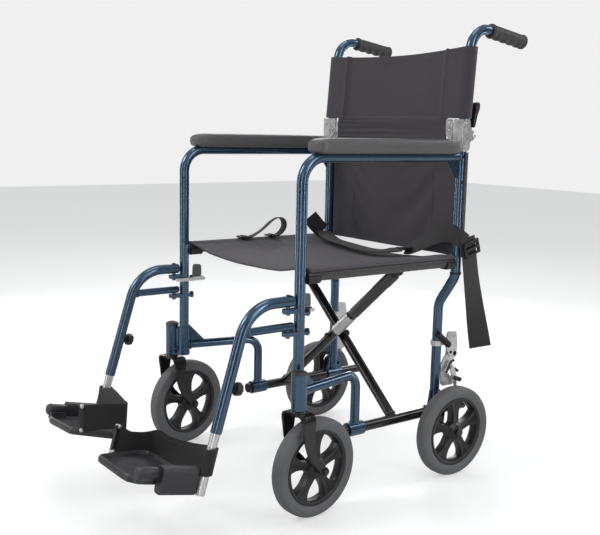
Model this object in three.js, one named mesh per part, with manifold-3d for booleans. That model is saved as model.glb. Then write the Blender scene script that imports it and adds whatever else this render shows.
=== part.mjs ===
// Folding transport wheelchair: two side frames joined by an X-brace, swing-away footrests, a folding back and a cloth seat.
// Millimetres, +Z up, the sitter faces -Y, left (+X) is the sitter's left.
import * as THREE from 'three';
import { mergeVertices } from 'three/addons/utils/BufferGeometryUtils.js';
import Module from 'manifold-3d';

const wasm = await Module();
wasm.setup();
const { Manifold, Mesh } = wasm;

// ---------------------------------------------------------------- driving dimensions
const FRAME_X = 226;            // centre plane of a side frame's upright tubes
const TUBE_R = 11;              // upright, armrest, rail and brace tubes
const FRONT_POST_Y = -5;
const REAR_POST_Y = 418;
const ARM_Z = 704.4;            // axis of the armrest tube
const ARM_BEND_R = 50;
const POST_FOOT_Z = 226;
const REAR_POST_TOP_Z = 738;
const LOWER_X = 185;            // lower rails and rear legs stand inboard of the uprights
const LOWER_RAIL_Z = 130;
const LOWER_TUBE_Z = 250;
const SLEEVE_R = 15.2;          // sleeves the lower rails turn in
const SLEEVE_BORE_R = 11.8;
const FRONT_SLEEVE_Y = 177;
const REAR_SLEEVE_Y = 412;
const RAIL_FRONT_Y = 149;
const RAIL_REAR_Y = 503;

const WHEEL_R = 100;
const WHEEL_HALF_WIDTH = 15;
const RIM_R = 76;
const WHEEL_SIDES = 24;
const TREAD_R = WHEEL_R / Math.cos(Math.PI / WHEEL_SIDES);   // corner radius that puts a flat facet on the floor
const SPOKES = 5;
const REAR_WHEEL_X = 246;
const REAR_WHEEL_Y = 411.4;
const AXLE_R = 6;
const HUB_BORE_R = 6.7;

const STEM_X = 253;
const STEM_Y = -21.7;
const TRAIL = 43;
const SWIVEL_LEFT = 0.094;      // radians each caster stands turned at rest
const SWIVEL_RIGHT = 0.156;
const HOUSING_FOOT_Z = 224.5;
const HOUSING_TOP_Z = 295.3;
const HOUSING_R = 15;
const STEM_R = 7.5;

const SEAT_Z = 477;             // axis of the seat rails
const SEAT_FRONT_Y = 9;
const SEAT_REAR_Y = 404;
const BRACE_A_Y = 288;          // left foot to right seat rail
const BRACE_B_Y = 257;          // right foot to left seat rail
const BRACE_RISE = SEAT_Z - LOWER_RAIL_Z;
const CROSS_Z = LOWER_RAIL_Z + BRACE_RISE * LOWER_X / (LOWER_X + FRAME_X);

const BACK_PIVOT_Y = 437;
const BACK_PIVOT_Z = 750;
const CANE_BEND = [224, 436, 981];
const CANE_END = [222.4, 600, 957];
const GRIP_START_Y = 490;

const HANGER_PIN_Y = -32;
const HANGER_Z = 432;
const STRUT_Z = 383;
const HANGER_CORNER = [227, -122, HANGER_Z];
const HANGER_FOOT = [229, -191.5, 203];
const HANGER_BEND_R = 78;
const EXTENSION_R = 9;
const EXTENSION_FOOT = [229, -225.5, 92];

const PLATE_TILT = 0.228;       // radians the footplates rise towards the toes
const FLIP_AXIS = [214, -308, 146];
const BARREL_R = 12;
const RIGHT_PLATE_LIFT = 0.078; // radians the right footplate stands folded up about its hinge at rest
const LOOP_WIDTH = 52;

const GAP = 0.35;               // air between neighbouring pieces

// ---------------------------------------------------------------- geometry helpers
const vec = (p) => new THREE.Vector3(...p);

/** A closed solid through equal-length loops of points, capped at both ends. */
function loft(loops) {
  const sides = loops[0].length;
  const points = loops.flat();
  const faces = [];
  for (let k = 0; k + 1 < loops.length; k++) {
    for (let i = 0; i < sides; i++) {
      const a = k * sides + i;
      const b = k * sides + (i + 1) % sides;
      faces.push(a, b, b + sides, a, b + sides, a + sides);
    }
  }
  const cap = (loop, base, flip) => {
    const centre = loop.reduce((sum, p) => sum.add(p), new THREE.Vector3()).divideScalar(sides);
    const normal = new THREE.Vector3();
    for (let i = 0; i < sides; i++) {
      const a = loop[i].clone().sub(centre);
      const b = loop[(i + 1) % sides].clone().sub(centre);
      normal.add(a.cross(b));
    }
    normal.normalize();
    const u = loop[0].clone().sub(loop[1]).normalize();
    const v = new THREE.Vector3().crossVectors(normal, u);
    const flat = loop.map((p) => new THREE.Vector2(p.clone().sub(centre).dot(u), p.clone().sub(centre).dot(v)));
    for (const [a, b, c] of THREE.ShapeUtils.triangulateShape(flat, [])) {
      if (flip) faces.push(base + c, base + b, base + a);
      else faces.push(base + a, base + b, base + c);
    }
  };
  cap(loops[0], 0, true);
  cap(loops[loops.length - 1], (loops.length - 1) * sides, false);
  const geometry = new THREE.BufferGeometry();
  geometry.setAttribute('position', new THREE.Float32BufferAttribute(points.flatMap((p) => p.toArray()), 3));
  geometry.setIndex(faces);
  return geometry;
}

/** Points along a bent centre line: straight runs joined by arcs of the given radius. */
function bentLine(corners, bendRadius, arcSteps = 5) {
  const points = [vec(corners[0])];
  for (let i = 1; i + 1 < corners.length; i++) {
    const here = vec(corners[i]);
    const before = vec(corners[i - 1]).sub(here).normalize();
    const after = vec(corners[i + 1]).sub(here).normalize();
    const half = before.angleTo(after) / 2;
    const radius = Array.isArray(bendRadius) ? bendRadius[i - 1] : bendRadius;
    const centre = here.clone().addScaledVector(before.clone().add(after).normalize(), radius / Math.sin(half));
    const start = here.clone().addScaledVector(before, radius / Math.tan(half)).sub(centre);
    const end = here.clone().addScaledVector(after, radius / Math.tan(half)).sub(centre);
    const axis = start.clone().cross(end).normalize();
    const sweep = start.angleTo(end);
    for (let k = 0; k <= arcSteps; k++) {
      points.push(start.clone().applyAxisAngle(axis, sweep * k / arcSteps).add(centre));
    }
  }
  points.push(vec(corners[corners.length - 1]));
  return points;
}

/** A solid round tube along a bent centre line; radii may differ from point to point. */
function tube(corners, radius, { bend = 40, sides = 12, arcSteps = 5 } = {}) {
  const line = bentLine(corners, bend, arcSteps);
  const tangents = line.map((p, i) => {
    const ahead = line[Math.min(i + 1, line.length - 1)].clone().sub(p).normalize();
    const behind = p.clone().sub(line[Math.max(i - 1, 0)]).normalize();
    return ahead.add(behind).normalize();
  });
  const first = tangents[0];
  let across = new THREE.Vector3(1, 0, 0);
  if (Math.abs(first.x) > 0.8) across = new THREE.Vector3(0, 1, 0);
  const loops = line.map((p, i) => {
    const t = tangents[i];
    across = across.clone().addScaledVector(t, -across.dot(t)).normalize();
    const up = new THREE.Vector3().crossVectors(t, across);
    const r = Array.isArray(radius) ? radius[i] : radius;
    return Array.from({ length: sides }, (_, k) => {
      const a = 2 * Math.PI * k / sides;
      return p.clone().addScaledVector(across, r * Math.cos(a)).addScaledVector(up, r * Math.sin(a));
    });
  });
  return loft(loops);
}

const rod = (from, to, radius, sides = 12) => tube([from, to], radius, { sides });

/** A stack of coaxial rings: [distance along, radius] pairs from one point in one direction. */
function turned(origin, direction, steps, sides = 12) {
  const d = vec(direction).normalize();
  const start = Math.abs(d.x) > 0.8 ? new THREE.Vector3(0, 1, 0) : new THREE.Vector3(1, 0, 0);
  const across = start.addScaledVector(d, -start.dot(d)).normalize();
  const up = new THREE.Vector3().crossVectors(d, across);
  return loft(steps.map(([along, r]) => Array.from({ length: sides }, (_, k) => {
    const a = 2 * Math.PI * k / sides;
    return vec(origin).addScaledVector(d, along).addScaledVector(across, r * Math.cos(a)).addScaledVector(up, r * Math.sin(a));
  })));
}

function box(x0, x1, y0, y1, z0, z1) {
  return new THREE.BoxGeometry(x1 - x0, y1 - y0, z1 - z0).translate((x0 + x1) / 2, (y0 + y1) / 2, (z0 + z1) / 2);
}

/** A flat plate standing in the YZ plane: an outline of [y, z] points between two x values. */
function plateYZ(outline, x0, x1) {
  return loft([x0, x1].map((x) => outline.map(([y, z]) => vec([x, y, z]))));
}

/** An outline of [x, y] points between two heights. */
function plateXY(outline, z0, z1) {
  return loft([z0, z1].map((z) => outline.map(([x, y]) => vec([x, y, z]))));
}

/** A flat strap along a line: each station gives its middle and the direction of its width. */
function strap(stations, width, thickness) {
  const middles = stations.map((s) => vec(s.at));
  return loft(stations.map((s, i) => {
    const ahead = middles[Math.min(i + 1, middles.length - 1)].clone().sub(middles[Math.max(i - 1, 0)]).normalize();
    const across = vec(s.across).normalize();
    const out = new THREE.Vector3().crossVectors(ahead, across).normalize().multiplyScalar(thickness / 2);
    const half = across.multiplyScalar((s.width ?? width) / 2);
    const p = middles[i];
    return [
      p.clone().add(half).add(out), p.clone().sub(half).add(out),
      p.clone().sub(half).sub(out), p.clone().add(half).sub(out),
    ];
  }));
}

function signedVolume(geometry) {
  const p = geometry.getAttribute('position');
  const index = geometry.getIndex();
  const [a, b, c] = [new THREE.Vector3(), new THREE.Vector3(), new THREE.Vector3()];
  let sum = 0;
  for (let i = 0; i < index.count; i += 3) {
    a.fromBufferAttribute(p, index.getX(i));
    b.fromBufferAttribute(p, index.getX(i + 1));
    c.fromBufferAttribute(p, index.getX(i + 2));
    sum += a.dot(b.cross(c)) / 6;
  }
  return sum;
}

function welded(geometry) {
  const bare = geometry.clone();
  bare.deleteAttribute('normal');
  bare.deleteAttribute('uv');
  const merged = mergeVertices(bare, 1e-4);
  if (signedVolume(merged) < 0) {
    const index = merged.getIndex();
    for (let i = 0; i < index.count; i += 3) {
      const swap = index.getX(i);
      index.setX(i, index.getX(i + 1));
      index.setX(i + 1, swap);
    }
  }
  return merged;
}

function solid(geometry) {
  const g = welded(geometry);
  return new Manifold(new Mesh({
    numProp: 3,
    vertProperties: new Float32Array(g.getAttribute('position').array),
    triVerts: new Uint32Array(g.getIndex().array),
  }));
}

/** Joins the first list of shapes and takes the second list away. */
function combine(shapes, cuts = []) {
  let result = solid(shapes[0]);
  for (const shape of shapes.slice(1)) result = result.add(solid(shape));
  for (const cut of cuts) result = result.subtract(solid(cut));
  const mesh = result.getMesh();
  const points = new Float32Array(mesh.numVert * 3);
  for (let i = 0; i < mesh.numVert; i++) {
    for (let k = 0; k < 3; k++) points[3 * i + k] = mesh.vertProperties[mesh.numProp * i + k];
  }
  const geometry = new THREE.BufferGeometry();
  geometry.setAttribute('position', new THREE.BufferAttribute(points, 3));
  geometry.setIndex([...mesh.triVerts]);
  return geometry;
}

function mirrored(geometry) {
  return welded(geometry.clone().scale(-1, 1, 1));
}

function turnedAboutStem(geometry, angle) {
  return geometry.clone().translate(-STEM_X, -STEM_Y, 0).rotateZ(angle).translate(STEM_X, STEM_Y, 0);
}

/** A point on the line between two points, at a given share of the way. */
const between = (a, b, share) => a.map((v, i) => v + (b[i] - v) * share);

// ---------------------------------------------------------------- materials
/** Each piece gets its own copy of its paint, so this gives back a maker. */
const paint = (name, color, roughness, metalness) => () => (
  new THREE.MeshStandardMaterial({ name, color, roughness, metalness })
);
const BLUE = paint('frame_blue', 0x2f5478, 0.32, 0.6);
const BLACK_STEEL = paint('black_steel', 0x1d1e20, 0.45, 0.3);
const BLACK_PLASTIC = paint('black_plastic', 0x242527, 0.6, 0.0);
const SLATE_PLASTIC = paint('slate_plastic', 0x474a4f, 0.65, 0.0);
const SILVER = paint('silver_metal', 0xc9ccd0, 0.3, 0.85);
const TYRE = paint('tyre', 0x6e6f72, 0.9, 0.0);
const RIM = paint('rim', 0x252628, 0.5, 0.0);
const GRIP = paint('grip', 0x2a2a2c, 0.85, 0.0);
const PAD = paint('arm_pad', 0x4b4c4f, 0.75, 0.0);
const CLOTH = paint('cloth', 0x403c40, 0.95, 0.0);
const WEBBING = paint('webbing', 0x2c2a2d, 0.95, 0.0);

const group = new THREE.Group();
group.name = 'transport_wheelchair';

function add(name, geometry, material) {
  const mesh = new THREE.Mesh(welded(geometry), material());
  mesh.name = name;
  group.add(mesh);
}

/** Adds a left piece and its mirror image on the right. */
function addPair(name, geometry, material) {
  add(`${name}_left`, geometry, material);
  add(`${name}_right`, mirrored(geometry), material);
}

// ---------------------------------------------------------------- side frames
const armTube = tube([
  [FRAME_X, FRONT_POST_Y, POST_FOOT_Z], [FRAME_X, FRONT_POST_Y, ARM_Z], [FRAME_X, REAR_POST_Y, ARM_Z],
], TUBE_R, { bend: ARM_BEND_R, arcSteps: 5 });
const rearLeg = tube([
  [FRAME_X, REAR_POST_Y, REAR_POST_TOP_Z], [FRAME_X, REAR_POST_Y, 444], [LOWER_X, REAR_SLEEVE_Y, 378],
  [LOWER_X, REAR_SLEEVE_Y, LOWER_RAIL_Z + 13],
], TUBE_R, { bend: 45, arcSteps: 3 });
const lowerTube = tube([
  [FRAME_X, FRONT_POST_Y, LOWER_TUBE_Z], [LOWER_X, FRONT_SLEEVE_Y, LOWER_TUBE_Z], [LOWER_X, FRONT_SLEEVE_Y, LOWER_RAIL_Z + 13],
], 10, { bend: 30, arcSteps: 4, sides: 10 });
const postSleeve = rod([FRAME_X, FRONT_POST_Y, POST_FOOT_Z + 1], [FRAME_X, FRONT_POST_Y, 292], 13.4);
const casterHousing = rod([STEM_X, STEM_Y, HOUSING_FOOT_Z], [STEM_X, STEM_Y, HOUSING_TOP_Z], HOUSING_R);
const housingWeb = plateXY([
  [FRAME_X + 2, FRONT_POST_Y - 5], [STEM_X - 6, STEM_Y - 6], [STEM_X, STEM_Y + 8], [FRAME_X + 6, FRONT_POST_Y + 7],
], 234, 288);
const frontSleeve = rod([LOWER_X, FRONT_SLEEVE_Y - 20, LOWER_RAIL_Z], [LOWER_X, FRONT_SLEEVE_Y + 20, LOWER_RAIL_Z], SLEEVE_R);
const rearSleeve = rod([LOWER_X, REAR_SLEEVE_Y - 23, LOWER_RAIL_Z], [LOWER_X, REAR_SLEEVE_Y + 23, LOWER_RAIL_Z], SLEEVE_R);
const axlePlate = plateYZ([
  [396, 172], [428, 172], [430, 128], [424, 90], [418, 84], [404, 84], [398, 90], [392, 128],
], 197.6, 205);
const axleWeb = box(190, 200, 405, 419, 148, 171);
const footPlate = plateYZ([[401, 184], [423, 184], [440, 160], [434, 143], [392, 143], [397, 160]], LOWER_X - 3, LOWER_X + 3);
const lowerGusset = loft([-2.2, 2.2].map((off) => [
  vec([224 + off, 4, 300]), vec([224 + off, 4, 255]), vec([214 + off, 46, 255]),
]));
const armGusset = plateYZ([[410, 700], [376, 700], [410, 654]], FRAME_X - 2, FRAME_X + 2);
const hangerLug = (z) => box(FRAME_X - 9, FRAME_X + 9, -43, -8, z - 8, z);
const pinHole = (z) => rod([FRAME_X, HANGER_PIN_Y, z - 20], [FRAME_X, HANGER_PIN_Y, z + 10], 4.9);

addPair('side_frame', combine([
  armTube, rearLeg, lowerTube, postSleeve, casterHousing, housingWeb, frontSleeve, rearSleeve,
  axlePlate, axleWeb, footPlate, lowerGusset, armGusset, hangerLug(HANGER_Z - 14.5), hangerLug(STRUT_Z - 10.5),
], [
  rod([LOWER_X, 100, LOWER_RAIL_Z], [LOWER_X, 480, LOWER_RAIL_Z], SLEEVE_BORE_R),
  rod([STEM_X, STEM_Y, HOUSING_FOOT_Z - 1], [STEM_X, STEM_Y, 286], STEM_R + 0.9),
  rod([190, REAR_WHEEL_Y, WHEEL_R], [212, REAR_WHEEL_Y, WHEEL_R], AXLE_R + 0.4),
  rod([170, 429.5, 160], [192, 429.5, 160], 4),
  pinHole(HANGER_Z - 14.5), pinHole(STRUT_Z - 10.5),
]), BLUE);

addPair('caster_cap', turned([STEM_X, STEM_Y, HOUSING_TOP_Z + GAP], [0, 0, 1], [
  [0, HOUSING_R + 0.5], [3.5, HOUSING_R + 0.5], [7, HOUSING_R - 3], [9.5, 6],
]), BLACK_PLASTIC);

/** An open-topped saddle that the seat rail drops into, notched around its upright. */
function cradle(y0, y1, postY) {
  return combine([box(FRAME_X - 16, FRAME_X + 14.5, y0, y1, 459, 480)], [
    rod([FRAME_X, postY, 440], [FRAME_X, postY, 500], TUBE_R + GAP),
    rod([FRAME_X, y0 - 30, SEAT_Z], [FRAME_X, y1 + 30, SEAT_Z], TUBE_R + 0.6),
    box(FRAME_X - 13, FRAME_X + TUBE_R + 0.6, y0 - 30, y1 + 30, SEAT_Z, SEAT_Z + 40),
  ]);
}
addPair('seat_cradle_front', cradle(-1, 36, FRONT_POST_Y), BLACK_PLASTIC);
addPair('seat_cradle_rear', cradle(380, 414, REAR_POST_Y), BLACK_PLASTIC);

/** The armrest pad: a cushion with rounded shoulders and tapered ends, grooved underneath for its tube. */
function armPad() {
  const section = (y, half, low, high) => {
    const r = Math.min(9, (high - low) / 2.5);
    return [
      [-half, low], [half, low], [half + 1.5, (low + high) / 2], [half - 1, high - r * 0.4], [half - r, high],
      [-half + r, high], [-half + 1, high - r * 0.4], [-half - 1.5, (low + high) / 2],
    ].map(([x, z]) => vec([FRAME_X + x, y, z]));
  };
  const cushion = loft([
    section(16, 15, 718, 731), section(24, 22, 712, 737), section(44, 25, 709.5, 741),
    section(372, 25, 709.5, 741), section(395, 22, 711, 739), section(402, 16, 715, 734),
  ]);
  const groove = tube([
    [FRAME_X, FRONT_POST_Y, 600], [FRAME_X, FRONT_POST_Y, ARM_Z], [FRAME_X, REAR_POST_Y + 5, ARM_Z],
  ], TUBE_R + GAP, { bend: ARM_BEND_R, arcSteps: 5 });
  return combine([cushion], [groove]);
}
addPair('arm_pad', armPad(), PAD);

// ---------------------------------------------------------------- wheels
/** A ring of revolution about the X axis; the profile is [radius, x] around its closed outline. */
function wheelRing(profile, sides = WHEEL_SIDES) {
  const points = [...profile, profile[0]].map(([r, x]) => new THREE.Vector2(r, x));
  return new THREE.LatheGeometry(points, sides).rotateZ(-Math.PI / 2).rotateX(Math.PI / sides);
}

const tyreShape = wheelRing([
  [RIM_R + GAP, -12], [90, -WHEEL_HALF_WIDTH], [TREAD_R, -8], [TREAD_R, 8], [90, WHEEL_HALF_WIDTH], [RIM_R + GAP, 12],
]);
const tyreSolid = () => combine([tyreShape]);

/** The rim, hub and flared spokes as one moulding. */
function rimSolid() {
  const ring = wheelRing([[67, -12], [RIM_R, -13.5], [RIM_R, 13.5], [67, 12], [65, 0]]);
  const hub = rod([-16, 0, 0], [16, 0, 0], 19);
  const spoke = (angle) => loft([
    [10, 8, 11], [30, 7.5, 10], [50, 9, 9], [70, 18, 9],
  ].map(([r, half, depth]) => [
    [-depth, -half * 0.75], [-depth, half * 0.75], [depth, half], [depth, -half],
  ].map(([x, side]) => vec([x, r, side]).applyAxisAngle(new THREE.Vector3(1, 0, 0), angle))));
  const spokes = Array.from({ length: SPOKES }, (_, k) => spoke(2 * Math.PI * k / SPOKES + Math.PI / 2));
  return combine([ring, hub, ...spokes], [rod([-20, 0, 0], [20, 0, 0], HUB_BORE_R)]);
}
const TYRE_SOLID = tyreSolid();
const RIM_SOLID = rimSolid();

addPair('rear_tyre', TYRE_SOLID.clone().translate(REAR_WHEEL_X, REAR_WHEEL_Y, WHEEL_R), TYRE);
addPair('rear_rim', RIM_SOLID.clone().translate(REAR_WHEEL_X, REAR_WHEEL_Y, WHEEL_R), RIM);
addPair('rear_axle', turned([191, REAR_WHEEL_Y, WHEEL_R], [1, 0, 0], [
  [0, 9.5], [6, 9.5], [6, AXLE_R], [14.4, AXLE_R], [14.4, 9], [38, 9], [38, AXLE_R], [72, AXLE_R], [72, 9.5], [78, 8.5], [80, 4],
]), SILVER);

const CASTER_WHEEL = [STEM_X, STEM_Y + TRAIL, WHEEL_R];
const FORK_HALF_WIDTH = 32.5;   // to the outer face of each leg
const FORK_LEG = 5;
/** The caster fork with its stem and axle bolt, pointing straight back. */
function casterFork() {
  const [cx, cy, cz] = CASTER_WHEEL;
  const leg = (x0, x1) => plateYZ([
    [STEM_Y - 17, 224], [STEM_Y + 17, 224], [STEM_Y + 25, 205], [cy + 8, 150], [cy + 13, 108], [cy + 9, 90], [cy, 86],
    [cy - 9, 90], [cy - 15, 112], [STEM_Y - 5, 165], [STEM_Y - 16, 205],
  ], x0, x1);
  const crown = plateXY([
    [cx - FORK_HALF_WIDTH, STEM_Y - 17], [cx + FORK_HALF_WIDTH, STEM_Y - 17],
    [cx + FORK_HALF_WIDTH, STEM_Y + 17], [cx - FORK_HALF_WIDTH, STEM_Y + 17],
  ], 212.5, 224);
  const stem = rod([cx, STEM_Y, 220], [cx, STEM_Y, 284], STEM_R);
  const axle = turned([cx - 38.5, cy, cz], [1, 0, 0], [[0, 7], [6, 9], [6, 5.4], [71, 5.4], [71, 9], [77, 7]]);
  const inner = FORK_HALF_WIDTH - FORK_LEG;
  return combine([
    crown, leg(cx - FORK_HALF_WIDTH, cx - inner), leg(cx + inner, cx + FORK_HALF_WIDTH), stem, axle,
  ]);
}
const FORK = casterFork();
const SIDES = [
  { name: 'left', flip: (g) => g, swivel: SWIVEL_LEFT },
  { name: 'right', flip: mirrored, swivel: -SWIVEL_RIGHT },
];
for (const { name, flip, swivel } of SIDES) {
  const place = (g) => flip(turnedAboutStem(g, swivel));
  add(`caster_fork_${name}`, place(FORK), BLACK_STEEL);
  add(`front_tyre_${name}`, place(TYRE_SOLID.clone().translate(...CASTER_WHEEL)), TYRE);
  add(`front_rim_${name}`, place(RIM_SOLID.clone().translate(...CASTER_WHEEL)), RIM);
}

// ---------------------------------------------------------------- X-brace and seat
/** One brace half: a lower rail, the slanted tube and the opposite seat rail, bored for the centre bolt. */
function braceHalf(side, y) {
  const foot = side * LOWER_X;
  const top = -side * FRAME_X;
  return combine([
    rod([foot, RAIL_FRONT_Y, LOWER_RAIL_Z], [foot, RAIL_REAR_Y, LOWER_RAIL_Z], TUBE_R),
    rod([foot, y, LOWER_RAIL_Z], [top, y, SEAT_Z], TUBE_R),
    rod([top, SEAT_FRONT_Y, SEAT_Z], [top, SEAT_REAR_Y, SEAT_Z], TUBE_R),
  ], [rod([0, y - 20, CROSS_Z], [0, y + 20, CROSS_Z], 5.5)]);
}
add('brace_a', braceHalf(1, BRACE_A_Y), BLACK_STEEL);
add('brace_b', braceHalf(-1, BRACE_B_Y), BLACK_STEEL);

const B_FOOT = [-LOWER_X, BRACE_B_Y, LOWER_RAIL_Z];
const B_TOP = [FRAME_X, BRACE_B_Y, SEAT_Z];
add('brace_sleeve', combine([
  rod(between(B_FOOT, B_TOP, 0.425), between(B_FOOT, B_TOP, 0.63), 13.2),
], [
  rod(B_FOOT, B_TOP, TUBE_R + GAP),
  rod([0, BRACE_B_Y - 20, CROSS_Z], [0, BRACE_B_Y + 20, CROSS_Z], 5.5),
]), SILVER);
add('brace_pivot_bolt', turned([0, BRACE_B_Y - 18.5, CROSS_Z], [0, 1, 0], [
  [0, 6], [4, 8.5], [4.2, 4.6], [62, 4.6], [62, 8.5], [67, 7],
]), SILVER);

/** The cloth seat: hooks over both rails and sags between them. */
function seatSling() {
  const outer = [];
  const steps = 10;
  const over = 5;
  for (let i = 0; i <= over; i++) {
    const a = Math.PI * (1.0 - 0.5 * i / over);
    outer.push([-FRAME_X + 15.5 * Math.cos(a), SEAT_Z + 5 + 11 * Math.sin(a)]);
  }
  const sag = (x) => 493 - 16 * (1 - (x / FRAME_X) ** 2);
  for (let i = 1; i < steps; i++) {
    const x = -FRAME_X + 2 * FRAME_X * i / steps;
    outer.push([x, sag(x)]);
  }
  for (let i = over; i >= 0; i--) {
    const [x, z] = outer[i];
    outer.push([-x, z]);
  }
  const inner = [];
  for (let i = 0; i <= over; i++) {
    const a = Math.PI * (0.5 * i / over);
    inner.push([FRAME_X + 12.2 * Math.cos(a), SEAT_Z + 5 + 6.9 * Math.sin(a)]);
  }
  for (let i = steps - 1; i > 0; i--) {
    const x = -FRAME_X + 2 * FRAME_X * i / steps;
    inner.push([x, sag(x) - 4]);
  }
  for (let i = over; i >= 0; i--) {
    const [x, z] = inner[i];
    inner.push([-x, z]);
  }
  const outline = [...outer, ...inner];
  return loft([10, 200, 402].map((y) => outline.map(([x, z]) => vec([x, y, z]))));
}
add('seat_sling', seatSling(), CLOTH);

// ---------------------------------------------------------------- folding back
const caneFoot = [FRAME_X, 420, 757];
const cane = tube([caneFoot, CANE_BEND, CANE_END], TUBE_R, { bend: 46, arcSteps: 6 });
const caneLug = combine([
  rod([FRAME_X - 9, BACK_PIVOT_Y, BACK_PIVOT_Z], [FRAME_X + 9, BACK_PIVOT_Y, BACK_PIVOT_Z], 8.5),
  plateYZ([[420, 760], [438, 757], [444, 752], [438, 772], [424, 786]], FRAME_X - 6, FRAME_X + 6),
]);
addPair('upper_cane', combine([cane, caneLug], [
  rod([FRAME_X - 20, BACK_PIVOT_Y, BACK_PIVOT_Z], [FRAME_X + 20, BACK_PIVOT_Y, BACK_PIVOT_Z], 4.8),
]), BLUE);

const gripStart = between(CANE_BEND, CANE_END, (GRIP_START_Y - CANE_BEND[1]) / (CANE_END[1] - CANE_BEND[1]));
const gripAxis = vec(CANE_END).sub(vec(CANE_BEND)).normalize().toArray();
const gripLength = vec(CANE_END).sub(vec(gripStart)).length() + 5;
addPair('grip', combine([turned(gripStart, gripAxis, [
  [0, 14], [5, 16.5], [12, 15], [gripLength - 14, 15], [gripLength - 7, 17], [gripLength - 2, 16], [gripLength, 12],
])], [rod(between(CANE_BEND, CANE_END, 0.1), vec(CANE_END).addScaledVector(vec(gripAxis), GAP).toArray(), TUBE_R + GAP)]), GRIP);

/** The back hinge: a channel round the upright's top, open to the rear, with the pivot pin across it. */
const hingeChannel = combine([
  box(FRAME_X - 15.5, FRAME_X + 15.5, 404, 432, 716, 784),
  plateYZ([[430, 738], [444, 740], [446, 756], [438, 762], [430, 764]], FRAME_X - 15.5, FRAME_X + 15.5),
  loft([403, 406.5].map((y) => [
    vec([FRAME_X - 10, y, 784]), vec([FRAME_X - 36, y, 784]), vec([FRAME_X - 36, y, 752]), vec([FRAME_X - 10, y, 728]),
  ])),
], [
  rod([FRAME_X, REAR_POST_Y, 700], [FRAME_X, REAR_POST_Y, REAR_POST_TOP_Z + 1], TUBE_R + GAP),
  box(FRAME_X - 12.6, FRAME_X + 12.6, 407, 460, REAR_POST_TOP_Z + 0.5, 800),
]);
const pivotPin = turned([FRAME_X - 20, BACK_PIVOT_Y, BACK_PIVOT_Z], [1, 0, 0], [
  [0, 6], [5, 6], [5, 4], [35, 4], [35, 6], [40, 6],
], 10);
addPair('back_hinge_bracket', combine([hingeChannel, pivotPin]), SILVER);

addPair('back_release_lever', plateYZ([
  [444, 768], [450, 766], [456, 800], [458, 817], [452, 820], [447, 802],
], FRAME_X - 7, FRAME_X + 7), BLACK_PLASTIC);

/**
 * Cloth between two upright tubes. It starts at angle `start` round each tube (0 is outboard, a quarter turn is
 * rearward), wraps to angle `end` and from there runs across to the other tube, set back by `belly` in the middle.
 */
function backPanel(levels, { start, end, sheetY, belly, thickness }) {
  const wrapSteps = 6;
  const profile = ([halfSpan, tubeY]) => {
    const wrap = (r) => Array.from({ length: wrapSteps + 1 }, (_, i) => {
      const a = start + (end - start) * i / wrapSteps;
      return [halfSpan + r * Math.cos(a), tubeY + r * Math.sin(a)];
    });
    const sheet = (offset) => Array.from({ length: 9 }, (_, i) => {
      const share = (i - 4) / 5;
      return [-halfSpan * 0.96 * share, tubeY + sheetY + offset + belly * (1 - share ** 2)];
    });
    const flip = (list) => list.map(([x, y]) => [-x, y]).reverse();
    const passesInFront = sheetY < 0;
    const nearFace = sheet(passesInFront ? 0 : thickness);
    const farFace = sheet(passesInFront ? thickness : 0);
    return [...wrap(15), ...nearFace, ...flip(wrap(15)), ...wrap(12.2).map(([x, y]) => [-x, y]), ...farFace.reverse(), ...wrap(12.2).reverse()];
  };
  return loft(levels.map((level) => profile(level).map(([x, y]) => vec([x, y, level[2]]))));
}
const caneAt = (z) => {
  const share = (z - caneFoot[2]) / (CANE_BEND[2] - caneFoot[2]);
  const [x, y] = between(caneFoot, CANE_BEND, share);
  return [x, y, z];
};
// The upper panel passes in front of the canes; the lower one passes behind the rear posts.
add('back_upper', combine([
  backPanel([caneAt(790), caneAt(860), caneAt(930)], {
    start: 0.6 * Math.PI, end: -0.5 * Math.PI, sheetY: -15, belly: 12, thickness: 4,
  }),
  box(-186, 186, 417, 421, 744, 800),
]), CLOTH);
add('back_lower', combine([
  backPanel([489.5, 600, 714].map((z) => [FRAME_X, REAR_POST_Y, z]), {
    start: -0.12 * Math.PI, end: 0.86 * Math.PI, sheetY: 3, belly: 9, thickness: 4,
  }),
  box(-198, 198, 424.5, 428, 700, 740),
]), CLOTH);

// ---------------------------------------------------------------- footrests
const legDirection = vec(HANGER_FOOT).sub(vec(HANGER_CORNER)).normalize();
const legBack = new THREE.Vector3(0, -legDirection.z, legDirection.y).normalize();
addPair('hanger', combine([
  tube([[FRAME_X, -22, HANGER_Z], HANGER_CORNER, HANGER_FOOT], TUBE_R, { bend: HANGER_BEND_R, arcSteps: 7 }),
  rod([FRAME_X, -22, STRUT_Z], [227, -134, STRUT_Z], 8),
  rod([FRAME_X, HANGER_PIN_Y, HANGER_Z], [FRAME_X, HANGER_PIN_Y, HANGER_Z - 27], 4.2),
  rod([FRAME_X, HANGER_PIN_Y, STRUT_Z], [FRAME_X, HANGER_PIN_Y, STRUT_Z - 23], 4.2),
], [
  rod(between(HANGER_CORNER, HANGER_FOOT, 0.42), between(HANGER_CORNER, HANGER_FOOT, 1.05), EXTENSION_R + 0.7),
]), BLUE);

addPair('hanger_latch', combine([
  plateYZ([[-36, 411], [-32, 403], [41, 402], [43, 410], [31, 413.5], [31, 440], [9, 442], [8, 414]], 209.6, 214.2),
  box(203, 211, 7, 33, 411, 415),
]), SILVER);

const extensionTop = between(HANGER_CORNER, HANGER_FOOT, 0.55);
addPair('footrest_extension', rod(extensionTop, EXTENSION_FOOT, EXTENSION_R), SILVER);

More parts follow.
